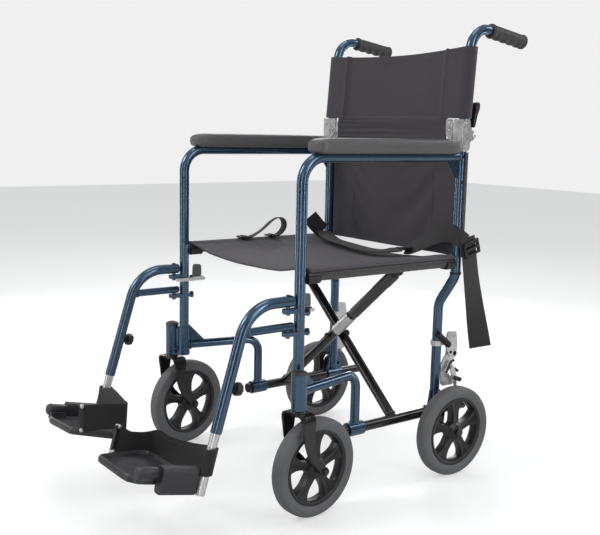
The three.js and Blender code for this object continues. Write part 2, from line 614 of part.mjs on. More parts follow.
const knobBase = between(HANGER_CORNER, HANGER_FOOT, 0.64);
addPair('height_knob', turned(knobBase, legBack.toArray(), [
  [TUBE_R + GAP, 6], [TUBE_R + 4, 6], [TUBE_R + 4, 12.5], [TUBE_R + 6, 13.5], [TUBE_R + 16, 13.5], [TUBE_R + 19, 11],
], 14), BLACK_PLASTIC);

/** Tilts a shape built flat about the flip axis's rear end so that its toe rises. */
function tiltedAtPlate(geometry) {
  const [, y, z] = FLIP_AXIS;
  return geometry.clone().translate(0, -y, -z).rotateX(-PLATE_TILT).translate(0, y, z);
}
addPair('footplate_clamp', combine([
  tiltedAtPlate(box(207.5, 232, -300, -224, 111, 162)),
  tiltedAtPlate(box(207.5, 228, -230, -208, 114, 150)),
], [
  rod(between(HANGER_FOOT, EXTENSION_FOOT, -0.4), between(HANGER_FOOT, EXTENSION_FOOT, 1.5), EXTENSION_R + GAP),
]), SLATE_PLASTIC);

const trayOutline = [[205, -226], [205, -348], [76, -352], [66, -346], [31, -256], [34, -226]];
const trayFloor = trayOutline.map(([x, y]) => [x + (x > 150 ? -7 : 7), y + (y < -300 ? 7 : -7)]);
const flatPlate = combine([
  plateXY(trayOutline, 122, 136),
  rod([214, -344, 146], [214, -300.6, 146], BARREL_R, 16),
  box(196, 206, -341, -305, 130, 146),
], [plateXY(trayFloor, 130, 140)]);
const liftedPlate = flatPlate.clone().translate(-214, 0, -146).rotateY(RIGHT_PLATE_LIFT).translate(214, 0, 146);
add('footplate_left', tiltedAtPlate(flatPlate), SLATE_PLASTIC);
add('footplate_right', mirrored(tiltedAtPlate(liftedPlate)), SLATE_PLASTIC);

/** A heel strap from a footplate's inner edge, round behind the plate, to the extension tube. */
function heelLoop(stations) {
  return strap(stations.map(([x, y, z, lean = 0.1]) => ({ at: [x, y, z], across: [0, lean, 1] })), LOOP_WIDTH, 3);
}
add('heel_loop_left', heelLoop([
  [48, -305, 162, 0.28], [36.5, -281, 142], [27.5, -258, 132], [26, -238, 128], [31, -221, 128], [48, -213, 128],
  [72, -208, 129.5], [110, -203, 132], [160, -198, 137], [212, -195, 144.5],
]), CLOTH);
add('heel_loop_right', mirrored(heelLoop([
  [56, -330, 176.5, 0.05], [46.5, -305, 176], [36, -272, 174.5], [30, -250, 173], [35, -239, 172], [60, -236, 170.5],
  [100, -230, 169], [150, -222, 166], [200, -214, 160.5], [213, -211, 158],
])), CLOTH);

// ---------------------------------------------------------------- wheel locks
addPair('brake_bracket', combine([
  rod([LOWER_X, REAR_SLEEVE_Y, 282], [LOWER_X, REAR_SLEEVE_Y, 304], 14.5),
  plateYZ([
    [413, 320], [440, 320], [450, 272], [454, 236], [446, 206], [430, 182], [404, 182], [404, 222], [416, 240], [413, 280],
  ], 196.3, 200),
], [
  rod([LOWER_X, REAR_SLEEVE_Y, 200], [LOWER_X, REAR_SLEEVE_Y, 340], TUBE_R + GAP),
]), SILVER);
addPair('brake_lever', combine([
  plateYZ([[434, 256], [446, 256], [447, 268], [412, 310], [400, 306]], 200.6, 204.6),
  rod([200.6, 397, 304], [220, 397, 304], 11.5),
  rod([202, 440, 262], [208, 440, 262], 6),
  plateYZ([[398, 296], [408, 300], [408, 312], [396, 310]], 200.6, 204.6),
]), BLACK_PLASTIC);
addPair('brake_pawl', combine([
  plateYZ([[431, 238], [443, 240], [459, 208], [455, 199], [446, 200], [431, 226]], 205.3, 209.3),
  rod([206, 452, 205], [238, 452, 205], 5),
]), SILVER);

// ---------------------------------------------------------------- lap belt
const lapPart = strap([
  { at: [118, 406, 500], across: [0, 0.08, 1] },
  { at: [165, 402, 522], across: [0, 0.2, 1] },
  { at: [207, 401.5, 536], across: [0, 0.1, 1] },
  { at: [233, 402.5, 535], across: [0, 0, 1] },
  { at: [243, 408, 530], across: [0, 0, 1] },
  { at: [245.6, 424, 521], across: [0, 0.2, 1] },
], 38, 2.4);
const hangingTail = strap([
  { at: [246.4, 430, 530], across: [0, 1, 0.1] },
  { at: [246.8, 437, 488], across: [0, 1, 0.1] },
  { at: [248, 457, 391], across: [0.2, 1, 0.1] },
  { at: [250, 483.5, 282], across: [0.6, 0.8, 0] },
], 46, 2.4);
add('belt_left', combine([lapPart, hangingTail]), WEBBING);
add('belt_buckle', plateYZ([[406, 514], [450, 528], [466, 511], [421, 482]], 249, 256), BLACK_PLASTIC);
add('belt_right', strap([
  { at: [-206, 378, 500], across: [0, 1, 0] },
  { at: [-150, 362, 493], across: [0, 1, 0] },
  { at: [-105, 346, 488.5], across: [0.1, 1, 0] },
  { at: [-45, 340, 484], across: [0.1, 1, 0] },
  { at: [25, 326, 483], across: [0.1, 1, 0] },
  { at: [80, 326, 486.5], across: [-0.3, 1, 0] },
  { at: [104, 348, 490], across: [-0.7, 0.7, 0] },
], 40, 2.4), WEBBING);

// ---------------------------------------------------------------- set the whole chair on its origin
const bounds = new THREE.Box3().setFromObject(group);
const middle = bounds.getCenter(new THREE.Vector3());
for (const mesh of group.children) {
  mesh.geometry.translate(-middle.x, -middle.y, -bounds.min.z);
  mesh.geometry.computeVertexNormals();
}

export default group;
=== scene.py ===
"""Looks of the folding transport wheelchair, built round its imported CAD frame.

Shapes are written in millimetres in the chair's own frame: X = 0 is the centre plane, +X the sitter's
left, Y grows towards the rear, and Z = 0 is the floor. placed() turns such a point
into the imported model's metres.
"""

import math

import bmesh
import bpy
from mathutils import Matrix, Vector, noise


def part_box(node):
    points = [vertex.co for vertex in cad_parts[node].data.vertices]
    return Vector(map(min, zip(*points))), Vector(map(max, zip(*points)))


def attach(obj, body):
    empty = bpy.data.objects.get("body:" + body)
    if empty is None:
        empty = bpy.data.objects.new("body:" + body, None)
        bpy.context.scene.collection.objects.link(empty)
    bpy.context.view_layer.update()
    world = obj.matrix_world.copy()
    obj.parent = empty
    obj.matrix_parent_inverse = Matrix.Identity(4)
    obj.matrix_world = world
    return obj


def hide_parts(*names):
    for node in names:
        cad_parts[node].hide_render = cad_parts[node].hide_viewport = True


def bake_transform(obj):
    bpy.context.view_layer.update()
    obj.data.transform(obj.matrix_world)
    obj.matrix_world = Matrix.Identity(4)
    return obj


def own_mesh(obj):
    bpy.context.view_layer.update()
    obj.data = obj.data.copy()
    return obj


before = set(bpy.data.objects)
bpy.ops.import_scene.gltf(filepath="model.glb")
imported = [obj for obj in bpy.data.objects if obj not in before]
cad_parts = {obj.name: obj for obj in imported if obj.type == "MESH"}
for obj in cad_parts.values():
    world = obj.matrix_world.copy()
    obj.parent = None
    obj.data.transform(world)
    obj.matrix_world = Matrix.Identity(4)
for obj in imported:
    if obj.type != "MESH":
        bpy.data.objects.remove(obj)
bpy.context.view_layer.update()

# ---------------------------------------------------------------- driving dimensions
MM = 0.001
OUTWARD, REARWARD, UPWARD = (1, 0, 0), (0, 1, 0), (0, 0, 1)
SEAT_FRONT_Y = 10
SEAT_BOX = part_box("seat_sling")
ORIGIN = Vector(((SEAT_BOX[0].x + SEAT_BOX[1].x) / 2, SEAT_BOX[0].y - SEAT_FRONT_Y * MM, 0.0))

FRAME_X = 226
TUBE_R = 11
FRONT_POST_Y = -5
REAR_POST_Y = 418
ARM_Z = 704.4
LOWER_X = 185
RAIL_Z = 130
LOWER_TUBE_Z = 250
SEAT_Z = 477
BRACE_A_Y = 288
BRACE_B_Y = 257
CROSS_Z = RAIL_Z + (SEAT_Z - RAIL_Z) * LOWER_X / (LOWER_X + FRAME_X)
WHEEL_R = 100
REAR_WHEEL = Vector((246, 411.4, 100))
STEM_X = 253
STEM_Y = -21.7
TRAIL = 43
SWIVEL = {"left": 0.094, "right": -0.156}
HANGER_Z = 432
STRUT_Z = 383
HANGER_CORNER = Vector((227, -122, HANGER_Z))
HANGER_FOOT = Vector((229, -191.5, 203))
EXTENSION_FOOT = Vector((229, -225.5, 92))
FLIP_AXIS = Vector((214, -308, 146))
PLATE_TILT = 0.228
PLATE_LIFT = {"left": 0.0, "right": 0.078}
LOOP_WIDTH = 52
PIVOT_Y = 437
PIVOT_Z = 750
CANE_FOOT = Vector((226, 420, 757))
CANE_BEND = Vector((224, 436, 981))
CANE_END = Vector((222.4, 600, 957))


def placed(point):
    return ORIGIN + Vector(point) * MM


# ---------------------------------------------------------------- shapes
class Shape:
    """Points, faces, a material number per face, and a cloth coordinate (across, along) per point."""

    def __init__(self, verts, faces, grain=None, paint=0):
        self.verts = [Vector(v) for v in verts]
        self.faces = [tuple(f) for f in faces]
        self.grain = grain or [(0.0, 0.0)] * len(self.verts)
        self.paint = [paint] * len(self.faces) if isinstance(paint, int) else paint

    def __add__(self, other):
        base = len(self.verts)
        faces = self.faces + [tuple(i + base for i in f) for f in other.faces]
        return Shape(self.verts + other.verts, faces, self.grain + other.grain, self.paint + other.paint)

    def painted(self, number):
        return Shape(self.verts, self.faces, self.grain, number)

    def moved(self, matrix):
        return Shape([matrix @ v for v in self.verts], self.faces, self.grain, self.paint)

    def mirrored(self):
        verts = [(-v.x, v.y, v.z) for v in self.verts]
        return Shape(verts, [f[::-1] for f in self.faces], self.grain, self.paint)


def portion(shape, low, high):
    """The faces whose middle lies between two x values, with only the points they use."""
    kept = [k for k, face in enumerate(shape.faces) if low <= sum(shape.verts[i].x
        for i in face) / len(face) < high]
    used = sorted({i for k in kept for i in shape.faces[k]})
    renumber = {old: new for new, old in enumerate(used)}
    faces = [tuple(renumber[i] for i in shape.faces[k]) for k in kept]
    return Shape([shape.verts[i] for i in used], faces, [shape.grain[i] for i in used],
        [shape.paint[k] for k in kept])


def total(shapes):
    result = shapes[0]
    for shape in shapes[1:]:
        result = result + shape
    return result


def loft(loops, ring=False, grain=None):
    """A skin through equal loops. A ring joins the last loop to the first; otherwise both ends are capped."""
    sides = len(loops[0])
    verts = [p for loop in loops for p in loop]
    faces = []
    for k in range(len(loops) if ring else len(loops) - 1):
        a = k * sides
        b = (k + 1) % len(loops) * sides
        for i in range(sides):
            j = (i + 1) % sides
            faces.append((a + i, a + j, b + j, b + i))
    if not ring:
        faces.append(range(sides - 1, -1, -1))
        faces.append(range(len(verts) - sides, len(verts)))
    return Shape(verts, faces, grain)


def bent_line(corners, radius, steps=14):
    """Straight runs joined by arcs."""
    corners = [Vector(c) for c in corners]
    points = [corners[0]]
    for before, here, after in zip(corners, corners[1:], corners[2:]):
        u = (before - here).normalized()
        v = (after - here).normalized()
        half = u.angle(v) / 2
        centre = here + (u + v).normalized() * radius / math.sin(half)
        start = here + u * radius / math.tan(half) - centre
        end = here + v * radius / math.tan(half) - centre
        axis = start.cross(end).normalized()
        for k in range(steps + 1):
            turn = Matrix.Rotation(start.angle(end) * k / steps, 3, axis)
            points.append(turn @ start + centre)
    return points + [corners[-1]]


def tangents(line):
    result = []
    for i, p in enumerate(line):
        ahead = (line[min(i + 1, len(line) - 1)] - p).normalized()
        behind = (p - line[max(i - 1, 0)]).normalized()
        result.append((ahead + behind).normalized())
    return result


def sweep(line, radius, sides=24):
    """A round bar along a line of points; radius is a number or one per point."""
    line = [Vector(p) for p in line]
    across = Vector((1, 0, 0))
    if abs((line[1] - line[0]).normalized().x) > 0.8:
        across = Vector((0, 1, 0))
    loops = []
    for i, (p, t) in enumerate(zip(line, tangents(line))):
        across = (across - t * across.dot(t)).normalized()
        up = t.cross(across)
        r = radius[i] if isinstance(radius, (list, tuple)) else radius
        loops.append([p + across * r * math.cos(a) + up * r * math.sin(a) for a in circle(sides)])
    return loft(loops)


def circle(sides):
    return [2 * math.pi * k / sides for k in range(sides)]


def tube(corners, radius, bend=40, sides=24, steps=14):
    return sweep(bent_line(corners, bend, steps), radius, sides)


def axes_about(direction):
    d = Vector(direction).normalized()
    start = Vector((0, 1, 0)) if abs(d.x) > 0.8 else Vector((1, 0, 0))
    across = (start - d * start.dot(d)).normalized()
    return d, across, d.cross(across)


def lathe(origin, direction, profile, sides=32, ring=False, lobes=0, lobe=0.0):
    """Turns (distance along, radius) pairs about an axis. Lobes swell the radius that many times round."""
    d, across, up = axes_about(direction)
    origin = Vector(origin)
    loops = []
    for along, r in profile:
        loop = []
        for a in circle(sides):
            swell = r + (lobe * math.cos(lobes * a) if lobes else 0)
            loop.append(origin + d * along + across * swell * math.cos(a) + up * swell * math.sin(a))
        loops.append(loop)
    return loft(loops, ring)


def at_level(outline, level, axis):
    """An outline of pairs as points, at one distance along an axis."""
    place = "xyz".index(axis)
    return [Vector((*pair_of[:place], level, *pair_of[place:])) for pair_of in outline]


def collar(origin, direction, inner, outer, length, sides):
    """A plain ring with a square section."""
    return lathe(origin, direction, [(0, inner), (0, outer), (length, outer), (length, inner)], sides,
        ring=True)


def both_flanks(half):
    """A wheel profile from its left half."""
    return half + [(-x, r) for x, r in reversed(half)]


def plate(outline, low, high, axis="x"):
    """An outline of pairs, extruded along an axis."""
    return loft([at_level(outline, level, axis) for level in (low, high)])


def block(x0, x1, y0, y1, z0, z1):
    return plate([(x0, y0), (x1, y0), (x1, y1), (x0, y1)], z0, z1, "z")


def soft(outline, rounds=2, keep=0.25):
    """The outline with its corners cut away smoothly."""
    for _ in range(rounds):
        cut = []
        for (a, b), (c, d) in zip(outline, outline[1:] + outline[:1]):
            cut.append((a + (c - a) * keep, b + (d - b) * keep))
            cut.append((a + (c - a) * (1 - keep), b + (d - b) * (1 - keep)))
        outline = cut
    return outline


def holed_plate(outline, hole, radius, low, high, axis="x", sides=48):
    """A plate with a round hole through it; the outline is seen whole from the hole's centre."""
    angles = sorted(circle(sides) + [math.atan2(b - hole[1], a - hole[0]) % (2 * math.pi) for a,
        b in outline])
    outer, inner = [], []
    for angle in angles:
        c, s = math.cos(angle), math.sin(angle)
        reach = 0.0
        for (ax, ay), (bx, by) in zip(outline, outline[1:] + outline[:1]):
            ex, ey = bx - ax, by - ay
            det = ex * s - ey * c
            if abs(det) < 1e-9:
                continue
            px, py = ax - hole[0], ay - hole[1]
            along = (ex * py - ey * px) / det
            share = (c * py - s * px) / det
            if -1e-6 <= share <= 1 + 1e-6 and along > 0:
                reach = max(reach, along)
        outer.append((hole[0] + c * reach, hole[1] + s * reach))
        inner.append((hole[0] + c * radius, hole[1] + s * radius))
    edges = ((outer, low), (outer, high), (inner, high), (inner, low))
    return loft([at_level(edge, level, axis) for edge, level in edges], ring=True)


def smooth_line(values, steps=6):
    """A Catmull-Rom curve through lists of equal-length number lists."""
    padded = [values[0]] + list(values) + [values[-1]]
    result = []
    for a, b, c, d in zip(padded, padded[1:], padded[2:], padded[3:]):
        for k in range(steps):
            t = k / steps
            result.append([
                0.5 * (2 * q + (r - p) * t + (2 * p - 5 * q + 4 * r - s) * t * t
                       + (3 * q - p - 3 * r + s) * t ** 3)
                for p, q, r, s in zip(a, b, c, d)
            ])
    return result + [list(values[-1])]


def band(stations, width, thickness, steps=6):
    """A flat strap. Each station is (x, y, z, across x, across y, across z, width share)."""
    rows = smooth_line(stations, steps)
    middles = [Vector(r[:3]) for r in rows]
    loops, grain, run = [], [], 0.0
    for i, (r, t) in enumerate(zip(rows, tangents(middles))):
        across = Vector(r[3:6])
        across = (across - t * across.dot(t)).normalized()
        out = t.cross(across) * thickness / 2
        half = across * width * r[6] / 2
        p = middles[i]
        if i:
            run += (p - middles[i - 1]).length
        loops.append([p + half + out, p + out * 1.12, p - half + out, p - half - out, p - out * 1.12,
            p + half - out])
        grain += [(h * width / 2, run) for h in (1, 0, -1, -1, 0, 1)]
    return loft(loops, grain=grain)


def bolt(origin, direction, radius=4.0, height=4.5):
    """A button head on a washer, with a driver socket."""
    return lathe(origin, direction, [
        (-0.4, radius * 1.5), (0.9, radius * 1.5), (0.9, radius), (height * 0.55, radius),
        (height * 0.9, radius * 0.82),
        (height, radius * 0.5), (height, radius * 0.42), (height - 1.6, radius * 0.38),
    ], 20)


def weld(origin, direction, radius, bead=1.7):
    """A weld bead round a bar."""
    profile = [(bead * math.sin(a), radius + bead * (0.25 + math.cos(a)) * 0.8) for a in circle(8)]
    return lathe(origin, direction, profile, 40, ring=True, lobes=20, lobe=0.22)


def surface_normals(grid):
    rows, cols = len(grid), len(grid[0])
    normals = []
    for i in range(rows):
        line = []
        for j in range(cols):
            down = grid[min(i + 1, rows - 1)][j] - grid[max(i - 1, 0)][j]
            side = grid[i][min(j + 1, cols - 1)] - grid[i][max(j - 1, 0)]
            line.append(side.cross(down).normalized())
        normals.append(line)
    return normals


def shell(grid, thickness):
    """A closed sheet of cloth around a grid of points."""
    rows, cols = len(grid), len(grid[0])
    normals = surface_normals(grid)
    verts, grain = [], []
    for side in (0.5, -0.5):
        for i in range(rows):
            for j in range(cols):
                verts.append(grid[i][j] + normals[i][j] * thickness * side)
                grain.append((float(i), float(j)))
    faces = []
    layer = rows * cols
    for i in range(rows - 1):
        for j in range(cols - 1):
            a = i * cols + j
            faces.append((a, a + 1, a + cols + 1, a + cols))
            faces.append((layer + a, layer + a + cols, layer + a + cols + 1, layer + a + 1))
    border = [j for j in range(cols)] + [i * cols + cols - 1 for i in range(1, rows)]
    border += [(rows - 1) * cols + j for j in range(cols - 2, -1, -1)] + [i * cols
        for i in range(rows - 2, 0, -1)]
    for a, b in zip(border, border[1:] + border[:1]):
        faces.append((a, layer + a, layer + b, b))
    return Shape(verts, faces, grain)


def stitches(points, normals, lift, length=3.4, gap=2.0, radius=0.42, number=1):
    """Short thread stitches along a line on a surface."""
    shapes = []
    run, nxt = 0.0, 0.0
    for p, q, n in zip(points, points[1:], normals):
        step = (q - p).length
        while nxt <= run + step and step > 1e-6:
            d = (q - p).normalized()
            side = d.cross(n).normalized()
            at = p + d * (nxt - run) + n * lift
            ends = []
            for along, size in ((-0.5, 0.35), (-0.3, 1.0), (0.3, 1.0), (0.5, 0.35)):
                centre = at + d * length * along
                ends.append([centre + (side * math.cos(a) + n * math.sin(a)) * radius * size
                    for a in circle(5)])
            shapes.append(loft(ends))
            nxt += length + gap
        run += step
    return total(shapes).painted(number)


# ---------------------------------------------------------------- materials
class Recipe:
    """A node material under construction."""

    def __init__(self, name):
        self.material = bpy.data.materials.new(name)
        self.material.use_nodes = True
        self.tree = self.material.node_tree
        self.bsdf = self.tree.nodes["Principled BSDF"]
        self.coords = self.node("TexCoord").outputs["Object"]

    def node(self, kind):
        return self.tree.nodes.new("ShaderNode" + kind)

    def put(self, socket, value):
        if isinstance(value, bpy.types.NodeSocket):
            self.tree.links.new(value, socket)
        else:
            socket.default_value = value

    def finish(self, **inputs):
        for name, value in inputs.items():
            self.put(self.bsdf.inputs[name.replace("_", " ").title()], value)
        return self.material

    def math(self, operation, a, b=0.0):
        node = self.node("Math")
        node.operation = operation
        self.put(node.inputs[0], a)
        self.put(node.inputs[1], b)
        return node.outputs[0]

    def noise(self, scale, detail=3.0, vector=None, roughness=0.55):
        node = self.node("TexNoise")
        self.put(node.inputs["Vector"], vector or self.coords)
        node.inputs["Scale"].default_value = scale
        node.inputs["Detail"].default_value = detail
        node.inputs["Roughness"].default_value = roughness
        return node.outputs["Fac"]

    def spread(self, value, low, high, out_low, out_high):
        node = self.node("MapRange")
        node.clamp = True
        for socket, given in zip(node.inputs, (value, low, high, out_low, out_high)):
            self.put(socket, given)
        return node.outputs[0]

    def mix(self, share, a, b):
        node = self.node("Mix")
        node.data_type = "RGBA"
        self.put(node.inputs[0], share)
        self.put(node.inputs[6], a)
        self.put(node.inputs[7], b)
        return node.outputs[2]

    def bump(self, height, strength, distance, below=None):
        node = self.node("Bump")
        node.inputs["Strength"].default_value = strength
        node.inputs["Distance"].default_value = distance
        self.put(node.inputs["Height"], height)
        if below is not None:
            self.put(node.inputs["Normal"], below)
        return node.outputs["Normal"]

    def edges(self, low, high):
        """1 on worn outer edges, 0 elsewhere, broken up by noise."""
        node = self.node("NewGeometry")
        worn = self.spread(node.outputs["Pointiness"], low, high, 0.0, 1.0)
        return self.math("MULTIPLY", worn, self.spread(self.noise(160, 4), 0.42, 0.6, 0.0, 1.0))


def tone(colour, factor):
    return (*[min(1.0, c * factor) for c in colour], 1.0)


def solid_finish(name, colour, rough, metallic=0.0, coat=0.0, mottle=(18, 0.12), grain=(900, 0.15, 0.0002),
                 wear=None, sheen=0.0, brushed=None, dust=0.0):
    """A hard or rubbery surface: mottled colour, fine grain, uneven gloss and worn edges."""
    r = Recipe(name)
    cloudy = r.spread(r.noise(mottle[0], 4), 0.3, 0.7, 0.0, 1.0)
    base = r.mix(cloudy, tone(colour, 1 - mottle[1]), tone(colour, 1 + mottle[1]))
    speck = r.noise(grain[0], 2)
    base = r.mix(r.spread(speck, 0.4, 0.62, 0.0, 0.5), base, tone(colour, 1.22))
    if dust:
        up = r.node("NewGeometry")
        split = r.node("SeparateXYZ")
        r.put(split.inputs[0], up.outputs["Normal"])
        settled = r.math("MULTIPLY", r.spread(split.outputs["Z"], 0.2, 1.0, 0.0, dust), cloudy)
        base = r.mix(settled, base, (0.42, 0.40, 0.37, 1.0))
    rough_value = r.spread(r.noise(mottle[0] * 3, 5), 0.3, 0.7, max(0.03, rough - 0.07),
        min(1.0, rough + 0.09))
    if wear:
        worn = r.edges(wear[1], wear[2])
        base = r.mix(r.math("MULTIPLY", worn, wear[3]), base, (*wear[0], 1.0))
    height = speck
    if brushed:
        stretch = r.node("Mapping")
        r.put(stretch.inputs["Vector"], r.coords)
        stretch.inputs["Scale"].default_value = brushed
        lines = r.noise(1.0, 2, stretch.outputs["Vector"])
        height = r.math("ADD", speck, lines)
        rough_value = r.math("ADD", rough_value, r.spread(lines, 0.3, 0.7, -0.05, 0.08))
    return r.finish(base_color=base, roughness=rough_value, normal=r.bump(height, grain[1], grain[2]),
                    metallic=metallic, coat_weight=coat, coat_roughness=0.12, sheen_weight=sheen)


def woven(name, colour, pitch, axes, rough=0.88, sheen=0.1, rib=False, crease=0.0):
    """A plain weave at a thread pitch in millimetres, on two object axes or on the strap's own run."""
    r = Recipe(name)
    split = r.node("SeparateXYZ")
    scale = 1.0 / pitch
    if axes == "strap":
        given = r.node("Attribute")
        given.attribute_name = "grain"
        r.put(split.inputs[0], given.outputs["Vector"])
        u, v = split.outputs["X"], split.outputs["Y"]
    else:
        r.put(split.inputs[0], r.coords)
        u, v = split.outputs[axes[0]], split.outputs[axes[1]]
        scale /= MM
    u = r.math("MULTIPLY", u, scale)
    v = r.math("MULTIPLY", v, scale * (0.5 if rib else 1.0))
    across = r.math("SINE", r.math("MULTIPLY", r.math("FRACT", u), math.pi))
    along = r.math("SINE", r.math("MULTIPLY", r.math("FRACT", v), math.pi))
    warp = r.math("MULTIPLY", across, r.spread(along, 0.0, 1.0, 0.45, 1.0))
    weft = r.math("MULTIPLY", along, r.spread(across, 0.0, 1.0, 0.45, 1.0))
    parity = r.math("ADD", r.math("FLOOR", u), r.math("FLOOR", v))
    over = r.math("PINGPONG", parity, 1.0)
    threads = r.math("ADD", r.math("MULTIPLY", warp, over),
                     r.math("MULTIPLY", weft, r.math("SUBTRACT", 1.0, over)))
    cloudy = r.spread(r.noise(9, 5), 0.3, 0.7, 0.0, 1.0)
    fuzz = r.noise(1400, 2)
    base = r.mix(cloudy, tone(colour, 0.86), tone(colour, 1.12))
    # Painted shade: the colour darkens where the threads dip, in the gaps between them.
    base = r.mix(r.spread(threads, 0.1, 0.9, 0.55, 0.0), base, tone(colour, 0.45))
    base = r.mix(r.spread(fuzz, 0.5, 0.75, 0.0, 0.4), base, tone(colour, 1.7))
    worn = r.edges(0.53, 0.62)
    base = r.mix(r.math("MULTIPLY", worn, 0.35), base, tone(colour, 1.9))
    normal = r.bump(r.math("ADD", threads, r.math("MULTIPLY", fuzz, 0.5)), 0.5, 0.00035)
    if crease:
        normal = r.bump(r.noise(22, 3), crease, 0.004, normal)
    gloss = r.spread(cloudy, 0.0, 1.0, rough - 0.06, min(1.0, rough + 0.06))
    return r.finish(base_color=base, roughness=gloss, normal=normal, sheen_weight=sheen, sheen_roughness=0.6)


BLUE = solid_finish("frame_blue_paint", (0.050, 0.098, 0.158), 0.20, 0.78, 0.5, (26, 0.04),
    (2600, 0.04, 0.00006), wear=((0.20, 0.27, 0.36), 0.57, 0.68, 0.3))
BLACK_STEEL = solid_finish("black_steel_enamel", (0.008, 0.007, 0.007), 0.18, 0.1, 0.3, (30, 0.12),
    (1800, 0.07, 0.0001), wear=((0.16, 0.15, 0.15), 0.57, 0.68, 0.35))
BLACK_PLASTIC = solid_finish("black_moulded_plastic", (0.010, 0.010, 0.011), 0.42, 0.0, 0.0, (40, 0.15),
                             (1500, 0.35, 0.0002), wear=((0.11, 0.11, 0.11), 0.55, 0.66, 0.5))
SLATE = solid_finish("slate_moulded_plastic", (0.020, 0.020, 0.023), 0.40, 0.0, 0.0, (22, 0.14),
    (1300, 0.35, 0.0002), wear=((0.15, 0.15, 0.16), 0.54, 0.64, 0.6), dust=0.06)
CAP_GREY = solid_finish("cap_grey_plastic", (0.10, 0.105, 0.115), 0.42, 0.0, 0.1, (30, 0.1),
    (1400, 0.3, 0.0002), wear=((0.24, 0.24, 0.25), 0.55, 0.65, 0.4))
# A lighter grey copy of the black enamel. It is painted light that stands for the lit look of the seat rails
# and the brace sheath.
RAIL_GREY_PAINTED_LIT = solid_finish("satin_black_painted_lit", (0.040, 0.039, 0.039), 0.36, 0.0, 0.15, (22, 0.10),
    (1300, 0.2, 0.0001))
SILVER = solid_finish("bright_aluminium", (0.62, 0.62, 0.61), 0.3, 0.85, 0.1, (30, 0.06), (1200, 0.1, 0.0001),
                      wear=((0.9, 0.9, 0.9), 0.55, 0.65, 0.6), brushed=(60, 900, 60))
ZINC = solid_finish("zinc_fastener", (0.55, 0.55, 0.55), 0.34, 0.9, 0.0, (60, 0.1), (1500, 0.15, 0.0001),
                    wear=((0.85, 0.85, 0.85), 0.55, 0.65, 0.5))
TYRE = solid_finish("grey_tyre_rubber", (0.105, 0.106, 0.112), 0.68, 0.0, 0.0, (14, 0.10),
    (1100, 0.45, 0.00025), wear=((0.2, 0.2, 0.2), 0.53, 0.62, 0.4), dust=0.08)
RIM = solid_finish("rim_plastic", (0.009, 0.009, 0.010), 0.34, 0.0, 0.0, (20, 0.12), (1400, 0.25, 0.0002),
                   wear=((0.12, 0.12, 0.12), 0.54, 0.64, 0.5), dust=0.05)
GRIP = solid_finish("grip_rubber", (0.030, 0.030, 0.031), 0.58, 0.0, 0.0, (30, 0.1), (1200, 0.45, 0.00025),
                    wear=((0.12, 0.12, 0.12), 0.54, 0.64, 0.5))
PAD = solid_finish("arm_pad_vinyl", (0.075, 0.075, 0.077), 0.46, 0.0, 0.12, (10, 0.08), (620, 0.45, 0.00035),
                   wear=((0.2, 0.2, 0.2), 0.53, 0.62, 0.4))
SEAT_CLOTH = woven("seat_cloth", (0.053, 0.047, 0.055), 1.5, "XY", crease=0.08)
BACK_CLOTH = woven("back_cloth", (0.040, 0.035, 0.042), 1.5, "XZ", crease=0.07)
WEBBING = woven("belt_webbing", (0.020, 0.017, 0.019), 1.6, "strap", 0.78, 0.1, rib=True)
LOOP_CLOTH = woven("heel_loop_cloth", (0.011, 0.010, 0.012), 1.3, "strap", 0.85, 0.06)
THREAD = solid_finish("sewing_thread", (0.030, 0.027, 0.031), 0.8, 0.0, 0.0, (60, 0.2), (3000, 0.6, 0.0002),
    sheen=0.3)


def build(name, shape, materials, body=None, slot=None, bevel=0.6, angle=34, subdivide=0):
    """Makes one piece from a shape in chair millimetres. It replaces a CAD node of the same name."""
    mesh = bpy.data.meshes.new(name)
    mesh.from_pydata([placed(v) for v in shape.verts], [], shape.faces)
    bm = bmesh.new()
    bm.from_mesh(mesh)
    bmesh.ops.recalc_face_normals(bm, faces=bm.faces)
    bm.to_mesh(mesh)
    bm.free()
    for number, face in zip(shape.paint, mesh.polygons):
        face.material_index = number
    grain = mesh.attributes.new("grain", "FLOAT_VECTOR", "POINT")
    grain.data.foreach_set("vector", [x for u, v in shape.grain for x in (u, v, 0.0)])
    mesh.shade_smooth()
    mesh.set_sharp_from_angle(angle=math.radians(angle))
    obj = bpy.data.objects.new(name, mesh)
    bpy.context.scene.collection.objects.link(obj)
    materials = materials if isinstance(materials, list) else [materials]
    for material in materials:
        mesh.materials.append(material)
    if bevel:
        rounding = obj.modifiers.new("rounding", "BEVEL")
        rounding.width = bevel * MM
        rounding.segments = 2
        rounding.limit_method = "ANGLE"
        rounding.angle_limit = math.radians(angle)
        rounding.harden_normals = True
    if subdivide:
        smoother = obj.modifiers.new("smoother", "SUBSURF")
        smoother.levels = subdivide
        smoother.render_levels = subdivide
    if body:
        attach(obj, body)
    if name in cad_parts:
        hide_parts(name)
    return obj


def body_name(base, side):
    return f"{side}_frame" if base == "frame" else f"{base}_{side}"


def pair(name, shape, materials, body, **looks):
    """A left piece and its mirror image on the right."""
    for side in ("left", "right"):
        own = shape if side == "left" else shape.mirrored()
        build(f"{name}_{side}", own, materials, body_name(body, side), **looks)


